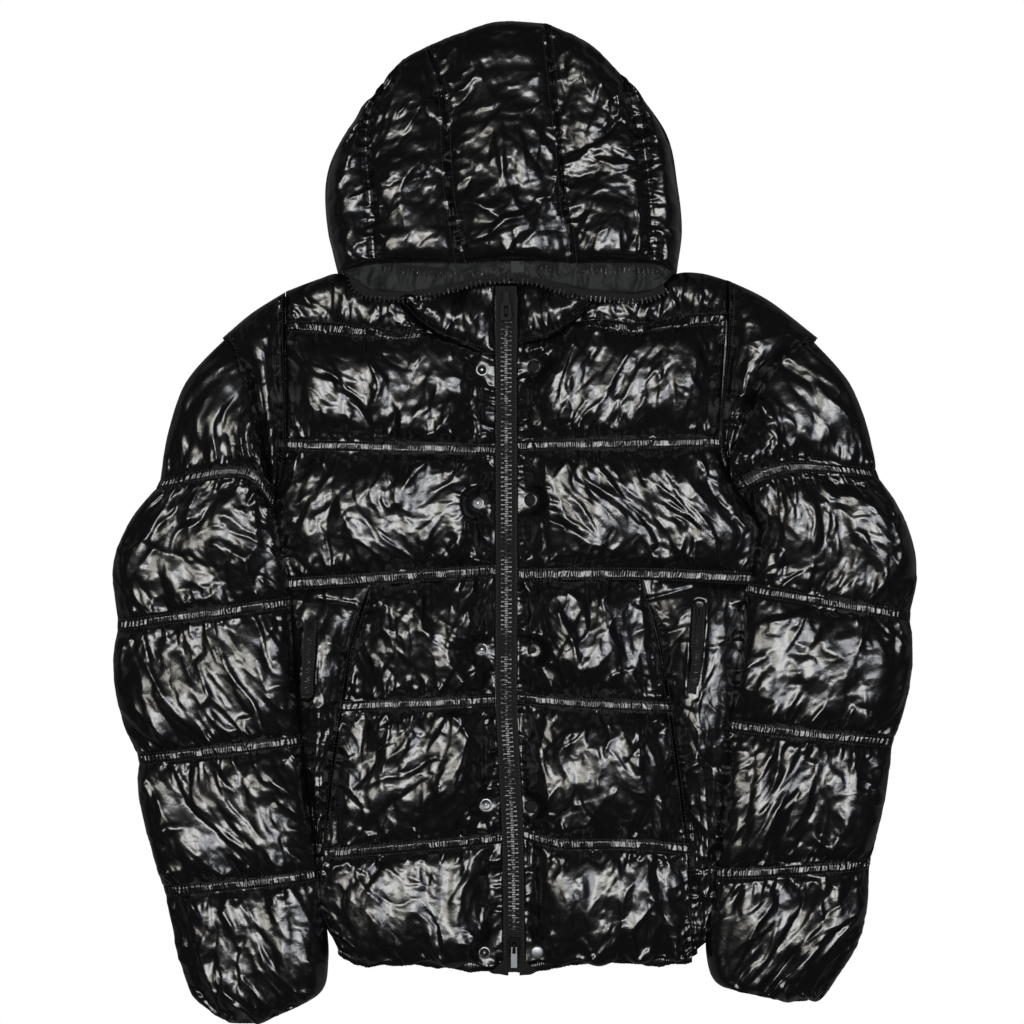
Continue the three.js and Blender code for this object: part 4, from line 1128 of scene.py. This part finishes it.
NYLON = shell_material()
LINING = plain_material("lining_cloth", (0.0085, 0.009, 0.0094), 0.62, 0, (300, 0.0004), 0.12)
TAPE = plain_material("woven_tape", (0.0032, 0.0032, 0.0035), 0.75, 0, (900, 0.0005), 0.12)
TEETH = plain_material("moulded_teeth", (0.008, 0.008, 0.0085), 0.3, 0, (160, 0.0035))
ELASTIC = plain_material("elastic", (0.004, 0.004, 0.0042), 0.7, 0, (600, 0.0005), 0.12)
THREAD = plain_material("thread", (0.025, 0.025, 0.026), 0.45)
TAB_CLOTH = plain_material("tab_cloth", (0.024, 0.025, 0.026), 0.8, 0, (500, 0.0006), 0.12)
BLACK_METAL = plain_material("black_metal", (0.003, 0.003, 0.0032), 0.3, specular=0.025)
# Nickel is the studs' real metal, and also serves as a painted glint on the lowest cap and on the bottom
# pull.
NICKEL = plain_material("dark_nickel", (0.12, 0.124, 0.13), 0.36, 1.0)

# The one source of random draws, the heaps that gathered strips and stitches are added to, and
# the cloth of each finished panel.
rng = np.random.default_rng(SEED)
channels = Heap()
stitches = Heap()
panel_cloth = {}


def place(points, level, up=1):
    """A patch's points moved from its flat side to their height above the floor, up or down
    from level. A height under SOFT_FLOOR becomes SOFT_FLOOR exp(height / SOFT_FLOOR - 1), so
    that no cloth goes through its flat side, and none goes below the floor."""
    placed = points.copy()
    above = placed[..., 2]
    flattened = SOFT_FLOOR * np.exp(np.minimum(above / SOFT_FLOOR, 1) - 1)
    above = np.where(above < SOFT_FLOOR, flattened, above)
    placed[..., 2] = np.maximum(0.0, level + up * above)
    return placed


def sew(points, rows):
    """Gathered strips and stitches over the channels of a settled patch."""
    for first in rows:
        lower, upper = points[first], points[first + 4]
        channels.add_grid(gathered_strip(lower, upper, rng))
        stitch_row(stitches, lower)
        stitch_row(stitches, upper)


def finish_cloth(obj, *nodes, slot="shell"):
    """Attaches a padded piece to the jacket's body and hides the given nodes, for which it stands."""
    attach(obj, "jacket")
    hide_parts(*nodes)


# Short seams across the side panels: over each pocket and near the left hem.
SHORT_SEAMS = {
    "side_panel_R": [((-196, -76), (-160, -81))],
    "side_panel_L": [((133, -77), (176, -66)), ((173, -348), (204, -344))],
}
# Rows and columns of a panel's cloth that are stitched, counted from its first or last.
STITCHED_ROWS = {
    "collar_R": (-3,), "collar_L": (-3,), "hood_centre": (3, -4), "hood_side_R": (-4,),
    "hood_side_L": (3,),
}
STITCHED_COLUMNS = {
    "armhole_panel_R": (2, 5, -3, -6), "armhole_panel_L": (2, 5, -3, -6), "front_lower_R": (2,),
    "front_lower_L": (2,), "side_panel_R": (-3,), "side_panel_L": (-3,),
}
# Gathered seams below the yokes: the panels they join and the places where they begin and end.
YOKE_SEAMS = (("front_upper_R", "yoke_R", -228, -92), ("front_upper_L", "yoke_L", 70, 210))
YOKE_SEAM_ROW = 3


PRESS_DEPTH, PRESS_WIDE = 2.2, 2.2


def press_seam(points, start, end):
    """Presses a straight seam into placed cloth, as deep as a bell curve of the distance from
    it, and lays its stitches."""
    start, end = np.array(start, float), np.array(end, float)
    away = distance_to(points[..., :2], start, end)
    points[..., 2] -= PRESS_DEPTH * np.exp(-((away / PRESS_WIDE) ** 2))
    share = np.linspace(0, 1, 24)[:, None]
    line = start + (end - start) * share
    near = [np.linalg.norm(points[..., :2] - at, axis=-1).argmin() for at in line]
    stitch_row(stitches, np.c_[line, points[..., 2].ravel()[near]])


def build_panels(table, **manner):
    """The settled cloth of each panel in a table, with its short seams and its stitches."""
    for name, spec in table.items():
        patch = Patch(spec["rows"], spec["sides"], **manner)
        points = place(settle(patch, rng), FRONT_LOW)
        for ends in SHORT_SEAMS.get(name, ()):
            press_seam(points, *ends)
        for row in STITCHED_ROWS.get(name, ()):
            stitch_row(stitches, points[row])
        for column in STITCHED_COLUMNS.get(name, ()):
            stitch_row(stitches, points[:, column])
        panel_cloth[name] = points
        sew(points, patch.channels)
        undercut = HOOD_UNDERCUT if table is HOOD else UNDERCUT
        finish_cloth(slab(name + "_cloth", points, FRONT_LOW, NYLON, undercut), name)


def build_backs():
    """The layers underneath: coarser cloth whose folds hang down, cut off flat at the floor."""
    for name, spec in BACKS.items():
        patch = Patch(spec["rows"], spec["sides"], cell=BACK_CELL, full=1.0)
        points = place(settle(patch, rng, BACK_FOLDS), BACK_TOP, up=-1)
        obj = slab(name + "_cloth", points, BACK_TOP, NYLON)
        merge_doubles(obj.data)
        finish_cloth(obj, name)


def lean_in(rows, reach):
    """Rows of a sleeve with their inner ends moved towards the body by reach, and the first
    row, at the armhole, moved whole and lifted."""
    moved = []
    for k, row in enumerate(rows):
        line = [tuple(point) for point in row["line"]]
        first = 0 if k == 0 else len(line) - 1
        lift = ARMHOLE_LIFT if k == 0 else 0
        line[first:] = [(x + reach, y + lift) for x, y in line[first:]]
        moved.append({**row, "line": line})
    return moved


def build_sleeves():
    """Each sleeve is two settled grids, above and below the plane of its side edges."""
    for name, rows in SLEEVES.items():
        rows = lean_in(rows, SLEEVE_LEAN[name])
        sides = (SLEEVE_EDGE, SLEEVE_EDGE)
        top = Patch(rows, sides, SLEEVE_RISE["top"], SLEEVE_CELL)
        under = Patch(rows, sides, SLEEVE_RISE["under"], SLEEVE_CELL)
        upper = place(settle(top, rng), SLEEVE_MID)
        lower = place(settle(under, rng, UNDER_FOLDS), SLEEVE_MID, up=-1)
        sew(upper, top.channels)
        obj = tube_of_two(name + "_cloth", upper, lower, NYLON)
        side = name[-1]
        finish_cloth(obj, "sleeve_top_" + side, "sleeve_under_" + side)


def gather_yoke_seams():
    """A gathered strip over the seam between each yoke and the panel below it."""
    for front, yoke, low_x, high_x in YOKE_SEAMS:
        lower = panel_cloth[front][YOKE_SEAM_ROW]
        lower = lower[(lower[:, 0] > low_x) & (lower[:, 0] < high_x)]
        upper = panel_cloth[yoke][-1 - YOKE_SEAM_ROW]
        channels.add_grid(gathered_strip(lower, upper, rng))
        stitch_row(stitches, lower)
        stitch_row(stitches, upper)


def ring_loft(stations, low, high, bevel):
    """A small bar along x from rings of six points, flat below and bevelled above: stations
    gives x and half width."""
    rings = []
    for x, half in stations:
        rings.append([
            (x, -half, low), (x, -half, high - bevel), (x, -half + bevel, high),
            (x, half - bevel, high), (x, half, high - bevel), (x, half, low),
        ])
    faces = []
    for k in range(len(stations) - 1):
        for i in range(6):
            j = (i + 1) % 6
            faces.append((6 * k + i, 6 * k + j, 6 * k + 6 + j, 6 * k + 6 + i))
    last = 6 * (len(stations) - 1)
    faces += [(3, 2, 1, 0), (5, 4, 3, 0)]
    faces += [(last, last + 1, last + 2, last + 3), (last, last + 3, last + 4, last + 5)]
    return np.array(sum(rings, []), float), faces


# A zip tooth from its head, past the middle of the chain, to its foot on the tape.
TOOTH = ((-1.7, 0.6), (-1.2, 1.1), (0.6, 1.15), (1.6, 0.75), (3.6, 0.95), (5.3, 1.2))
TOOTH_PITCH = 4.6
TOOTH_BEVEL = 0.35
# Heights and ends of the front zip's chain, and how far its teeth tilt at most.
CHAIN_LOW, CHAIN_HIGH = 36.3, 39.7
CHAIN_TOP_Y, CHAIN_BOTTOM_Y = 200.2, -414.2
CHAIN_LEAN = 0.38
# Heights of the hood zip's teeth, their size, how far they stand off their line, and their tilt.
HOOD_CHAIN_LOW, HOOD_CHAIN_HIGH = 50.4, 53.2
HOOD_TOOTH, HOOD_TOOTH_OFF, HOOD_TOOTH_LEAN = 0.78, 1.25, 0.42
HOOD_ZIP = {
    "upper_R": [(-134, 249), (-112, 246), (-76, 243), (-40, 242), (-21, 246), (-11, 252)],
    "upper_L": [(17, 252.5), (30, 249), (43, 247), (82, 246), (118, 247), (141, 247)],
    "lower_R": [(-168, 244), (-163, 230), (-149, 221), (-130, 218), (-107, 218), (-90, 220),
                (-64, 227), (-30, 235), (-6, 236.5)],
    "lower_L": [(-2, 236.5), (21, 234), (46, 225), (70, 220), (89, 218), (118, 216), (137, 219),
                (152, 227)],
}
# Where teeth of the lower rows lie level and catch the light, and how far to either side.
HOOD_GLINTS = {"lower_R": -100, "lower_L": 83}
GLINT_REACH = 9


def flat_path(line, spacing):
    """Points at an even spacing on a smooth level line."""
    dense = catmull_rom(line)
    return resample(np.c_[dense, np.zeros(len(dense))], spacing)


def teeth_row(heap, path, side, low, high, shift=0.0, size=1.0, lean=0.0):
    """Teeth along a path, feet towards side (1 is left), their middle line shifted by shift
    and their tops sloping along the path by lean."""
    stations = [(x * size, w * size) for x, w in TOOTH]
    verts, faces = ring_loft(stations, low, high, TOOTH_BEVEL * size)
    frames = frames_along(path)[:, [1, 0, 2]]
    frames[:, 0] *= side
    places = path + frames[:, 0] * shift
    frames[:, 1] *= -side
    frames[:, 1, 2] -= side * lean
    heap.copies(verts, faces, places, frames)


def build_zips():
    """The teeth of the front zip, alternately from both sides, and those of the hood's zip."""
    middle = [(zip_x(y), y) for y in np.linspace(CHAIN_TOP_Y - 1, CHAIN_BOTTOM_Y + 1, 9)]
    path = flat_path(middle, TOOTH_PITCH / 2)
    lean = CHAIN_LEAN * smooth_noise(rng, (len(path), 1), 15)[:, 0]
    chain = Heap()
    teeth_row(chain, path[::2], 1, CHAIN_LOW, CHAIN_HIGH, lean=lean[::2])
    teeth_row(chain, path[1::2], -1, CHAIN_LOW, CHAIN_HIGH, lean=lean[1::2])
    finish_hardware(chain.build("front_zip_teeth", TEETH), "zip_teeth", "zip_teeth")
    for name, line in HOOD_ZIP.items():
        row = Heap()
        path = flat_path(line, TOOTH_PITCH)
        level = np.abs(path[:, 0] - HOOD_GLINTS.get(name, math.inf)) < GLINT_REACH
        lean = np.where(level, 0.0, HOOD_TOOTH_LEAN)
        heights = (HOOD_CHAIN_LOW, HOOD_CHAIN_HIGH)
        teeth_row(row, path, 1, *heights, HOOD_TOOTH_OFF, HOOD_TOOTH, lean)
        finish_hardware(row.build("hood_zip_teeth_" + name, TEETH), "zip_teeth", "hood_teeth_" + name)


# Edges of hard pieces that turn by more than this many degrees are shaded as sharp ones.
SHARP = 28


def finish_hardware(obj, slot, *nodes):
    """Closes a hard piece, keeps its edges sharp, and lets it stand for the given nodes."""
    merge_doubles(obj.data)
    obj.data.set_sharp_from_angle(angle=math.radians(SHARP))
    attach(obj, "jacket")
    if nodes:
        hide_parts(*nodes)


def lathe(heap, profile, centre, low, segments=36):
    """A turned piece: a profile of radii and heights carried round a circle."""
    turn = np.linspace(0, 2 * np.pi, segments + 1)
    radius, height = np.array(profile, float).T
    x = centre[0] + np.outer(radius, np.cos(turn))
    y = centre[1] + np.outer(radius, np.sin(turn))
    z = low + height[:, None] + 0 * x
    rows, cols = x.shape
    heap.add(np.dstack([x, y, z]).reshape(-1, 3), grid_faces(rows, cols, False))


# Profiles of the turned pieces: radius, and height above the seat.
STUD_RING = ((4.1, 0.2), (6, 0), (6, 0.7), (5.6, 1.2), (4.8, 1.3), (4.2, 0.9), (4.1, 0.2))
STUD_POST = ((1.7, 0.2), (1.6, 2.2), (1.1, 2.7), (0, 2.8))
STUD_WELL = ((0, 0.1), (4.3, 0.1), (4.3, 0.45), (0, 0.35))
CAP = ((0, 0.1), (6.6, 0.1), (6.9, 0.6), (6.7, 1.3), (6.3, 1.5), (5.9, 1.2), (5.6, 0.8), (0, 0.7))
CAP_FACE = ((0, 0.72), (5.7, 0.72), (5.5, 1.0), (4.4, 1.25), (0, 1.4))


def build_snaps():
    """Studs are a bright ring and post in a dark well; caps are one dark turned piece, except the lowest,
    which is bright nickel all over as a painted glint for the light its tilted dome catches.
    """
    studs, wells, caps = Heap(), Heap(), Heap()
    for centre in STUDS:
        lathe(studs, STUD_RING, centre, SNAP_LOW)
        lathe(studs, STUD_POST, centre, SNAP_LOW)
        lathe(wells, STUD_WELL, centre, SNAP_LOW)
    for centre in CAPS[:-1]:
        lathe(caps, CAP, centre, SNAP_LOW)
        lathe(wells, CAP_FACE, centre, SNAP_LOW)
    # The lowest cap is made bright nickel, a painted glint: it stands for the light that its tilted dome
    # catches, where the other caps are dark.
    bright = Heap()
    for profile in (CAP, CAP_FACE):
        lathe(bright, profile, CAPS[-1], SNAP_LOW)
    numbers = range(1, len(CAPS) + 1)
    stud_nodes = [f"snap_stud_{n}" for n in numbers]
    cap_nodes = [f"snap_cap_{n}" for n in numbers]
    finish_hardware(studs.build("turned_studs", NICKEL), "snap_metal", *stud_nodes)
    finish_hardware(wells.build("stud_wells", TAPE), "snap_metal")
    finish_hardware(caps.build("turned_caps", BLACK_METAL), "black_metal", *cap_nodes[:-1])
    finish_hardware(bright.build("turned_cap_painted_glint", NICKEL), "snap_metal", cap_nodes[-1])


def bevelled_copy(node_name, body, width, material=BLACK_METAL):
    """A copy of a hard piece of the solids with its edges rounded over the given width."""
    obj = frame["nodes"][node_name].copy()
    obj.data = obj.data.copy()
    obj.name = node_name + "_rounded"
    bpy.context.collection.objects.link(obj)
    merge_doubles(obj.data)
    bevel = obj.modifiers.new("edges", "BEVEL")
    bevel.width = width * MM
    bevel.segments = 2
    bevel.limit_method = "ANGLE"
    obj.data.materials.clear()
    obj.data.materials.append(material)
    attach(obj, body)
    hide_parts(node_name)


# Widths of the rounded edges: of each slider by its name, and of the pulls.
SLIDER_EDGES = {"top": 0.6, "bottom": 0.6, "pocket_R": 0.35, "pocket_L": 0.35}
PULL_EDGE = 0.25


def build_sliders():
    """The four sliders, and their pulls, which turn on bodies of their own."""
    for name, edge in SLIDER_EDGES.items():
        bevelled_copy(name + "_slider", "jacket", edge)
        # The bottom pull takes bright nickel, a painted glint for the light caught on its upper part; the
        # other pulls are black metal.
        metal = NICKEL if name == "bottom" else BLACK_METAL
        bevelled_copy(name + "_pull", name + "_pull", PULL_EDGE, metal)


# A pocket zip's teeth: spacing, height, size and tilt, how far they are let into the solid and
# how far from their line it is stitched.
POCKET_PITCH, POCKET_TOOTH_HIGH, POCKET_TOOTH, POCKET_LEAN = 1.5, 1.8, 0.5, 0.4
POCKET_SUNK, POCKET_STITCH = 1.6, 5.6


def build_pocket_zips():
    """A narrow row of small teeth on a tape along each pocket's opening. Its height follows the
    solid's: the highest of its points near each place, evened out over nine of them."""
    for (top, end), side in zip(POCKETS, "RL"):
        verts = frame["nodes"]["pocket_zip_" + side].data.vertices
        solid = np.empty(3 * len(verts))
        verts.foreach_get("co", solid)
        solid = solid.reshape(-1, 3) / MM
        path = flat_path([top, end], POCKET_PITCH)
        near = [solid[np.abs(solid[:, 1] - y) < 9, 2].max() for y in path[:, 1]]
        evened = np.convolve(np.pad(near, 4, mode="edge"), np.ones(9) / 9, "valid")
        path[:, 2] = evened - POCKET_SUNK
        row = Heap()
        for foot in (1, -1):
            feet = path[(foot > 0) :: 2]
            teeth_row(row, feet, foot, 0, POCKET_TOOTH_HIGH, 0.0, POCKET_TOOTH, POCKET_LEAN)
        finish_hardware(row.build("pocket_zip_teeth_" + side, TEETH), "zip_teeth")
        for offset in (-POCKET_STITCH, POCKET_STITCH):
            line = path + frames_along(path)[:, 1] * offset
            stitch_row(stitches, line + [0, 0, -0.2])


# The front zip's tape: its ends, its height and the distance of its stitching from its centre.
TAPE_TOP_Y, TAPE_BOTTOM_Y, TAPE_HIGH, TAPE_STITCH = 234, -446, 35.9, 9.6


def stitch_tapes():
    """Stitching along both edges of the front zip's tape."""
    for side in (-1, 1):
        heights = np.linspace(TAPE_TOP_Y, TAPE_BOTTOM_Y, 12)
        path = flat_path([(zip_x(y) + side * TAPE_STITCH, y) for y in heights], 3)
        path[:, 2] = TAPE_HIGH
        stitch_row(stitches, path, lift=0.15)


# The free ends of the zip's tape below its lowest teeth: their upper end, length, distance from
# the zip's centre, width at both ends, height and thickness.
TIP_TOP, TIP_LONG, TIP_IN = -434.0, 19.0, 5.5
TIP_WIDE = (5.0, 19.0)
TIP_HIGH, TIP_THICK = 37.4, 1.2


def build_tape_ends():
    """Each end is a wedge that widens with the square of the way down, folded outwards, so that
    its outer corner stands up; its lower edge is a low wave."""
    down = np.linspace(0, 1, 25)[:, None]
    across = np.linspace(0, 1, 17)[None, :]
    for side, letter in ((-1, "R"), (1, "L")):
        wide = TIP_WIDE[0] + (TIP_WIDE[1] - TIP_WIDE[0]) * down**2
        x = zip_x(TIP_TOP) + side * (TIP_IN + across * wide)
        y = TIP_TOP - TIP_LONG * down + down * across * (4.5 * across + np.sin(7 * across + side))
        z = TIP_HIGH + 2.2 * down * across**2 + 0.3 * np.sin(9 * down + 5 * across)
        points = np.dstack([x, y, z])
        obj = slab("zip_tape_end_" + letter, points, TIP_HIGH - TIP_THICK, TAPE, 0.0)
        finish_hardware(obj, "zip_tape")


# Each hem binding's upper and lower line.
HEM_R = (
    [(-177, -424.4), (-152, -434.4), (-111, -433.4), (-47, -439.4), (-13, -442.4)],
    [(-177, -433), (-154, -444), (-111, -442.5), (-47, -448), (-13, -450)],
)
HEM_L = (
    [(177, -430.4), (150, -434.4), (111, -431.4), (58, -434.4), (11, -441.4)],
    [(177, -441), (150, -443.5), (111, -440.5), (58, -443.5), (11, -450)],
)
HEM_BACK = (
    [(-176, -424.6), (-150, -434.6), (-100, -434.6), (0, -441.6), (100, -433.6), (152, -433.6),
     (184, -424.6)],
    [(-176, -433), (-152, -443.5), (-100, -443), (0, -450), (100, -441), (152, -443), (184, -434)],
)
# Pitch of a binding's ribs, the spacing of its points along it and their number across.
HEM_PITCH = 3.4
HEM_SPACING, HEM_ACROSS = 0.75, 9


def gathered_hem(lines, level, low, high, up):
    """A narrow binding: its height across is a sine to the power 0.6, with ribs that are a sine
    of uneven pitch along it, and its lower edge strays."""
    upper, lower = (catmull_rom(line) for line in lines)
    count = int(arc_shares(upper)[1] / HEM_SPACING)
    shares = np.linspace(0, 1, count)
    a, b = along(upper, shares), along(lower, shares)
    w = np.linspace(0, 1, HEM_ACROSS)[None, :, None]
    pitch = HEM_PITCH * (1 + 0.45 * smooth_noise(rng, (count, 1), 9)[:, 0])
    wave = np.sin(np.cumsum(2 * np.pi * HEM_SPACING / pitch))[:, None]
    plan = a[:, None] * (1 - w) + b[:, None] * w
    uneven = 1.4 * smooth_noise(rng, (count, 1), 26) + 0.9 * smooth_noise(rng, (count, 1), 9)
    plan[..., 1] += w[..., 0] ** 3 * (0.3 * wave - 0.6 + uneven)
    round_over = np.sin(np.pi * (0.12 + 0.8 * w[..., 0])) ** 0.6
    ribs = (0.5 + 0.4 * smooth_noise(rng, (count, 1), 12)) * wave
    height = low + ((high - low) * (1 + 0.25 * uneven) + ribs) * round_over
    return np.dstack([plan, level + up * height])


def build_hem():
    """The three bindings: node, table, level, heights at its edges and middle, and up or down."""
    bindings = {
        "hem_binding_R": (HEM_R, FRONT_LOW, 3.0, 6.0, 1),
        "hem_binding_L": (HEM_L, FRONT_LOW, 3.0, 6.0, 1),
        "hem_binding_back": (HEM_BACK, BACK_TOP, 10.0, 15.0, -1),
    }
    for node, (lines, level, low, high, up) in bindings.items():
        points = gathered_hem(lines, level, low, high, up)
        obj = slab(node + "_cloth", points, level, NYLON)
        merge_doubles(obj.data)
        finish_cloth(obj, node)


# Cuffs: node, centre, length towards the hand, width and height.
CUFFS = (("cuff_R", -269, -492.5, 8, 36, 11), ("cuff_L", 278.5, -472.5, 6, 29, 11))
# Section of a cuff's wall: steps out from its oval, and shares of its length.
CUFF_WALL = ((0, 0), (0, 0.25), (0, 0.5), (0, 0.75), (0, 1), (-1, 1.03), (-3, 0.98), (-4, 0.7),
             (-4, 0.3), (-3, 0), (0, 0))
CUFF_RIBS, CUFF_RIB_HIGH, CUFF_POINTS = 26, 0.45, 145


def build_cuffs():
    """Each cuff is a flattened ring of ribbed elastic: the section of its wall carried round an
    oval whose width is a cosine to the power 0.8, with ribs that are a sine of the turn."""
    for node, x, y, long, wide, high in CUFFS:
        turn = np.linspace(0, 2 * np.pi, CUFF_POINTS)[:, None]
        profile = np.array(CUFF_WALL)[None]
        ribs = CUFF_RIB_HIGH * np.sin(CUFF_RIBS * turn) * (profile[..., 0] == 0)
        out = profile[..., 0] + ribs - 0.5
        px = x + (wide / 2 + out) * np.sign(np.cos(turn)) * np.abs(np.cos(turn)) ** 0.8
        pz = SLEEVE_MID + (high / 2 + out) * np.sin(turn)
        py = y - long * profile[..., 1] + 0 * turn
        points = np.dstack([px, py, pz])
        heap = Heap()
        heap.add(points.reshape(-1, 3), grid_faces(*points.shape[:2], False))
        obj = heap.build(node + "_ribbed", ELASTIC)
        merge_doubles(obj.data)
        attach(obj, "jacket")
        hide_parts(node)


# Side edges and upper line of the lining, and how far its lower line lies inside the neck's.
LINING_EDGE = {"edge": 16.5, "round": 20.0}
LINING_IN = 0.8
LINING_TOP = [(-171, 249.5), (-139, 258), (-54, 259.2), (57, 259.2), (138, 258), (156, 250)]


def build_lining():
    """The hood's lining where it shows between the two rows of its zip."""
    foot = neck_row((-171, -146, -116, -85, -52, -20, 3, 33, 60, 90, 120, 143, 156), LINING_IN)
    rows = [seam(foot, rise=0.2, crest=1.2), seam(LINING_TOP, rise=0.2)]
    patch = Patch(rows, (LINING_EDGE, LINING_EDGE), lean=math.radians(20))
    points = place(settle(patch, rng, LINING_FOLDS), FRONT_LOW)
    obj = slab("hood_lining_cloth", points, FRONT_LOW, LINING)
    finish_cloth(obj, "hood_lining", slot="lining")


# The finish of each slot.
SLOTS = {
    "zip_tape": TAPE, "zip_teeth": TEETH, "black_metal": BLACK_METAL, "snap_metal": NICKEL,
    "elastic": ELASTIC, "lining": LINING, "shell": NYLON,
}


def build_heaps():
    """The gathered strips and the stitches that the other pieces left in their heaps."""
    for heap, name, material in ((channels, "gathered_channels", NYLON), (stitches, "stitching", THREAD)):
        piece = heap.build(name, material)
        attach(piece, "jacket")


def dress_nodes():
    """Gives each node of the solids the finish of its slot; the hood zip's tab is a paler cloth."""
    for part in frame["record"]["subparts"]:
        node = frame["nodes"][part["node"]]
        node.data.materials.clear()
        tab = part["node"] == "hood_zip_end_tab"
        node.data.materials.append(TAB_CLOTH if tab else SLOTS[part["material_slot"]])


# Stage, lights and camera

def area_light(name, place_at, target, size, power, color):
    """A rectangular light at a place, turned towards its target."""
    data = bpy.data.lights.new(name, "AREA")
    data.shape = "RECTANGLE"
    data.size, data.size_y = size
    data.energy = power
    data.color = color
    obj = bpy.data.objects.new(name, data)
    bpy.context.collection.objects.link(obj)
    obj.location = place_at
    direction = Vector(target) - Vector(place_at)
    obj.rotation_euler = direction.to_track_quat("-Z", "Y").to_euler()


def white_sweep():
    """Plain white to the camera, as in a cut-out, and a duller white to what it lights."""
    material, shader = new_material("white_sweep")
    tree = material.node_tree
    set_values(shader, Base_Color=(0.07, 0.07, 0.07, 1), Roughness=0.9)
    glow = add_node(tree, "ShaderNodeEmission", [("Strength", 1.0)])
    seen = add_node(tree, "ShaderNodeLightPath")
    mix = add_node(tree, "ShaderNodeMixShader")
    tree.links.new(seen.outputs["Is Camera Ray"], mix.inputs[0])
    tree.links.new(shader.outputs[0], mix.inputs[1])
    tree.links.new(glow.outputs[0], mix.inputs[2])
    tree.links.new(mix.outputs[0], tree.nodes["Material Output"].inputs[0])
    return material


# The floor's half side and level, the strength of the light from all round, and each window's
# name, place, target and colour, with the size and power of both.
FLOOR_HALF, FLOOR_LEVEL = 4000, -0.5
ALL_ROUND = 0.034
WINDOWS = (
    ("window_warm", (-0.56, 0.05, 2.7), (-0.1, 0, 0), (1.0, 0.97, 0.88)),
    ("window_cool", (0.50, 0.05, 2.7), (0.1, 0, 0), (0.91, 0.94, 1.0)),
)
WINDOW_SIZE, WINDOW_POWER = (1.0, 1.9), 63


def build_stage():
    """A floor, two long window lights above both sides, and a dim world that looks white."""
    corners = ((-1, -1), (1, -1), (1, 1), (-1, 1))
    verts = [(x * FLOOR_HALF, y * FLOOR_HALF, FLOOR_LEVEL) for x, y in corners]
    mesh_object("floor", verts, [(0, 1, 2, 3)], white_sweep(), smooth=False)
    world = bpy.context.scene.world or bpy.data.worlds.new("studio")
    bpy.context.scene.world = world
    world.use_nodes = True
    background = world.node_tree.nodes["Background"]
    background.inputs["Color"].default_value = (1, 1, 1, 1)
    seen = add_node(world.node_tree, "ShaderNodeLightPath")
    levels = [("To Min", ALL_ROUND), ("To Max", 1.0)]
    strength = add_node(world.node_tree, "ShaderNodeMapRange", levels)
    world.node_tree.links.new(seen.outputs["Is Camera Ray"], strength.inputs["Value"])
    world.node_tree.links.new(strength.outputs["Result"], background.inputs["Strength"])
    for name, place_at, target, color in WINDOWS:
        area_light(name, place_at, target, WINDOW_SIZE, WINDOW_POWER, color)


# The camera's place in metres, its sensor's width in millimetres, and the side of the square
# that it sees at the height of the sleeves' edges.
CAMERA_AT = (-0.003, 0.010, 2.2)
SENSOR = 36
PHOTO_SIDE = 1.024
SUBJECT_HEIGHT = 0.035


def build_camera():
    """Straight above, so that the plane of the sleeves' edges fills the photo as it does there."""
    data = bpy.data.cameras.new("camera")
    data.sensor_width = SENSOR
    data.lens = SENSOR * (CAMERA_AT[2] - SUBJECT_HEIGHT) / PHOTO_SIDE
    obj = bpy.data.objects.new("camera", data)
    bpy.context.collection.objects.link(obj)
    obj.location = CAMERA_AT
    bpy.context.scene.camera = obj


# Every piece in the order in which its creases are drawn.
build_panels(FRONTS)
build_panels(PLAIN_PANELS, full=1.0)
gather_yoke_seams()
build_panels(HOOD, lean=math.radians(60), gather=0.45)
build_sleeves()
build_backs()
build_hem()
build_cuffs()
build_lining()
build_zips()
build_snaps()
build_pocket_zips()
stitch_tapes()
build_tape_ends()
build_sliders()
build_heaps()
dress_nodes()
build_stage()
build_camera()
bpy.context.scene.view_settings.view_transform = "Standard"
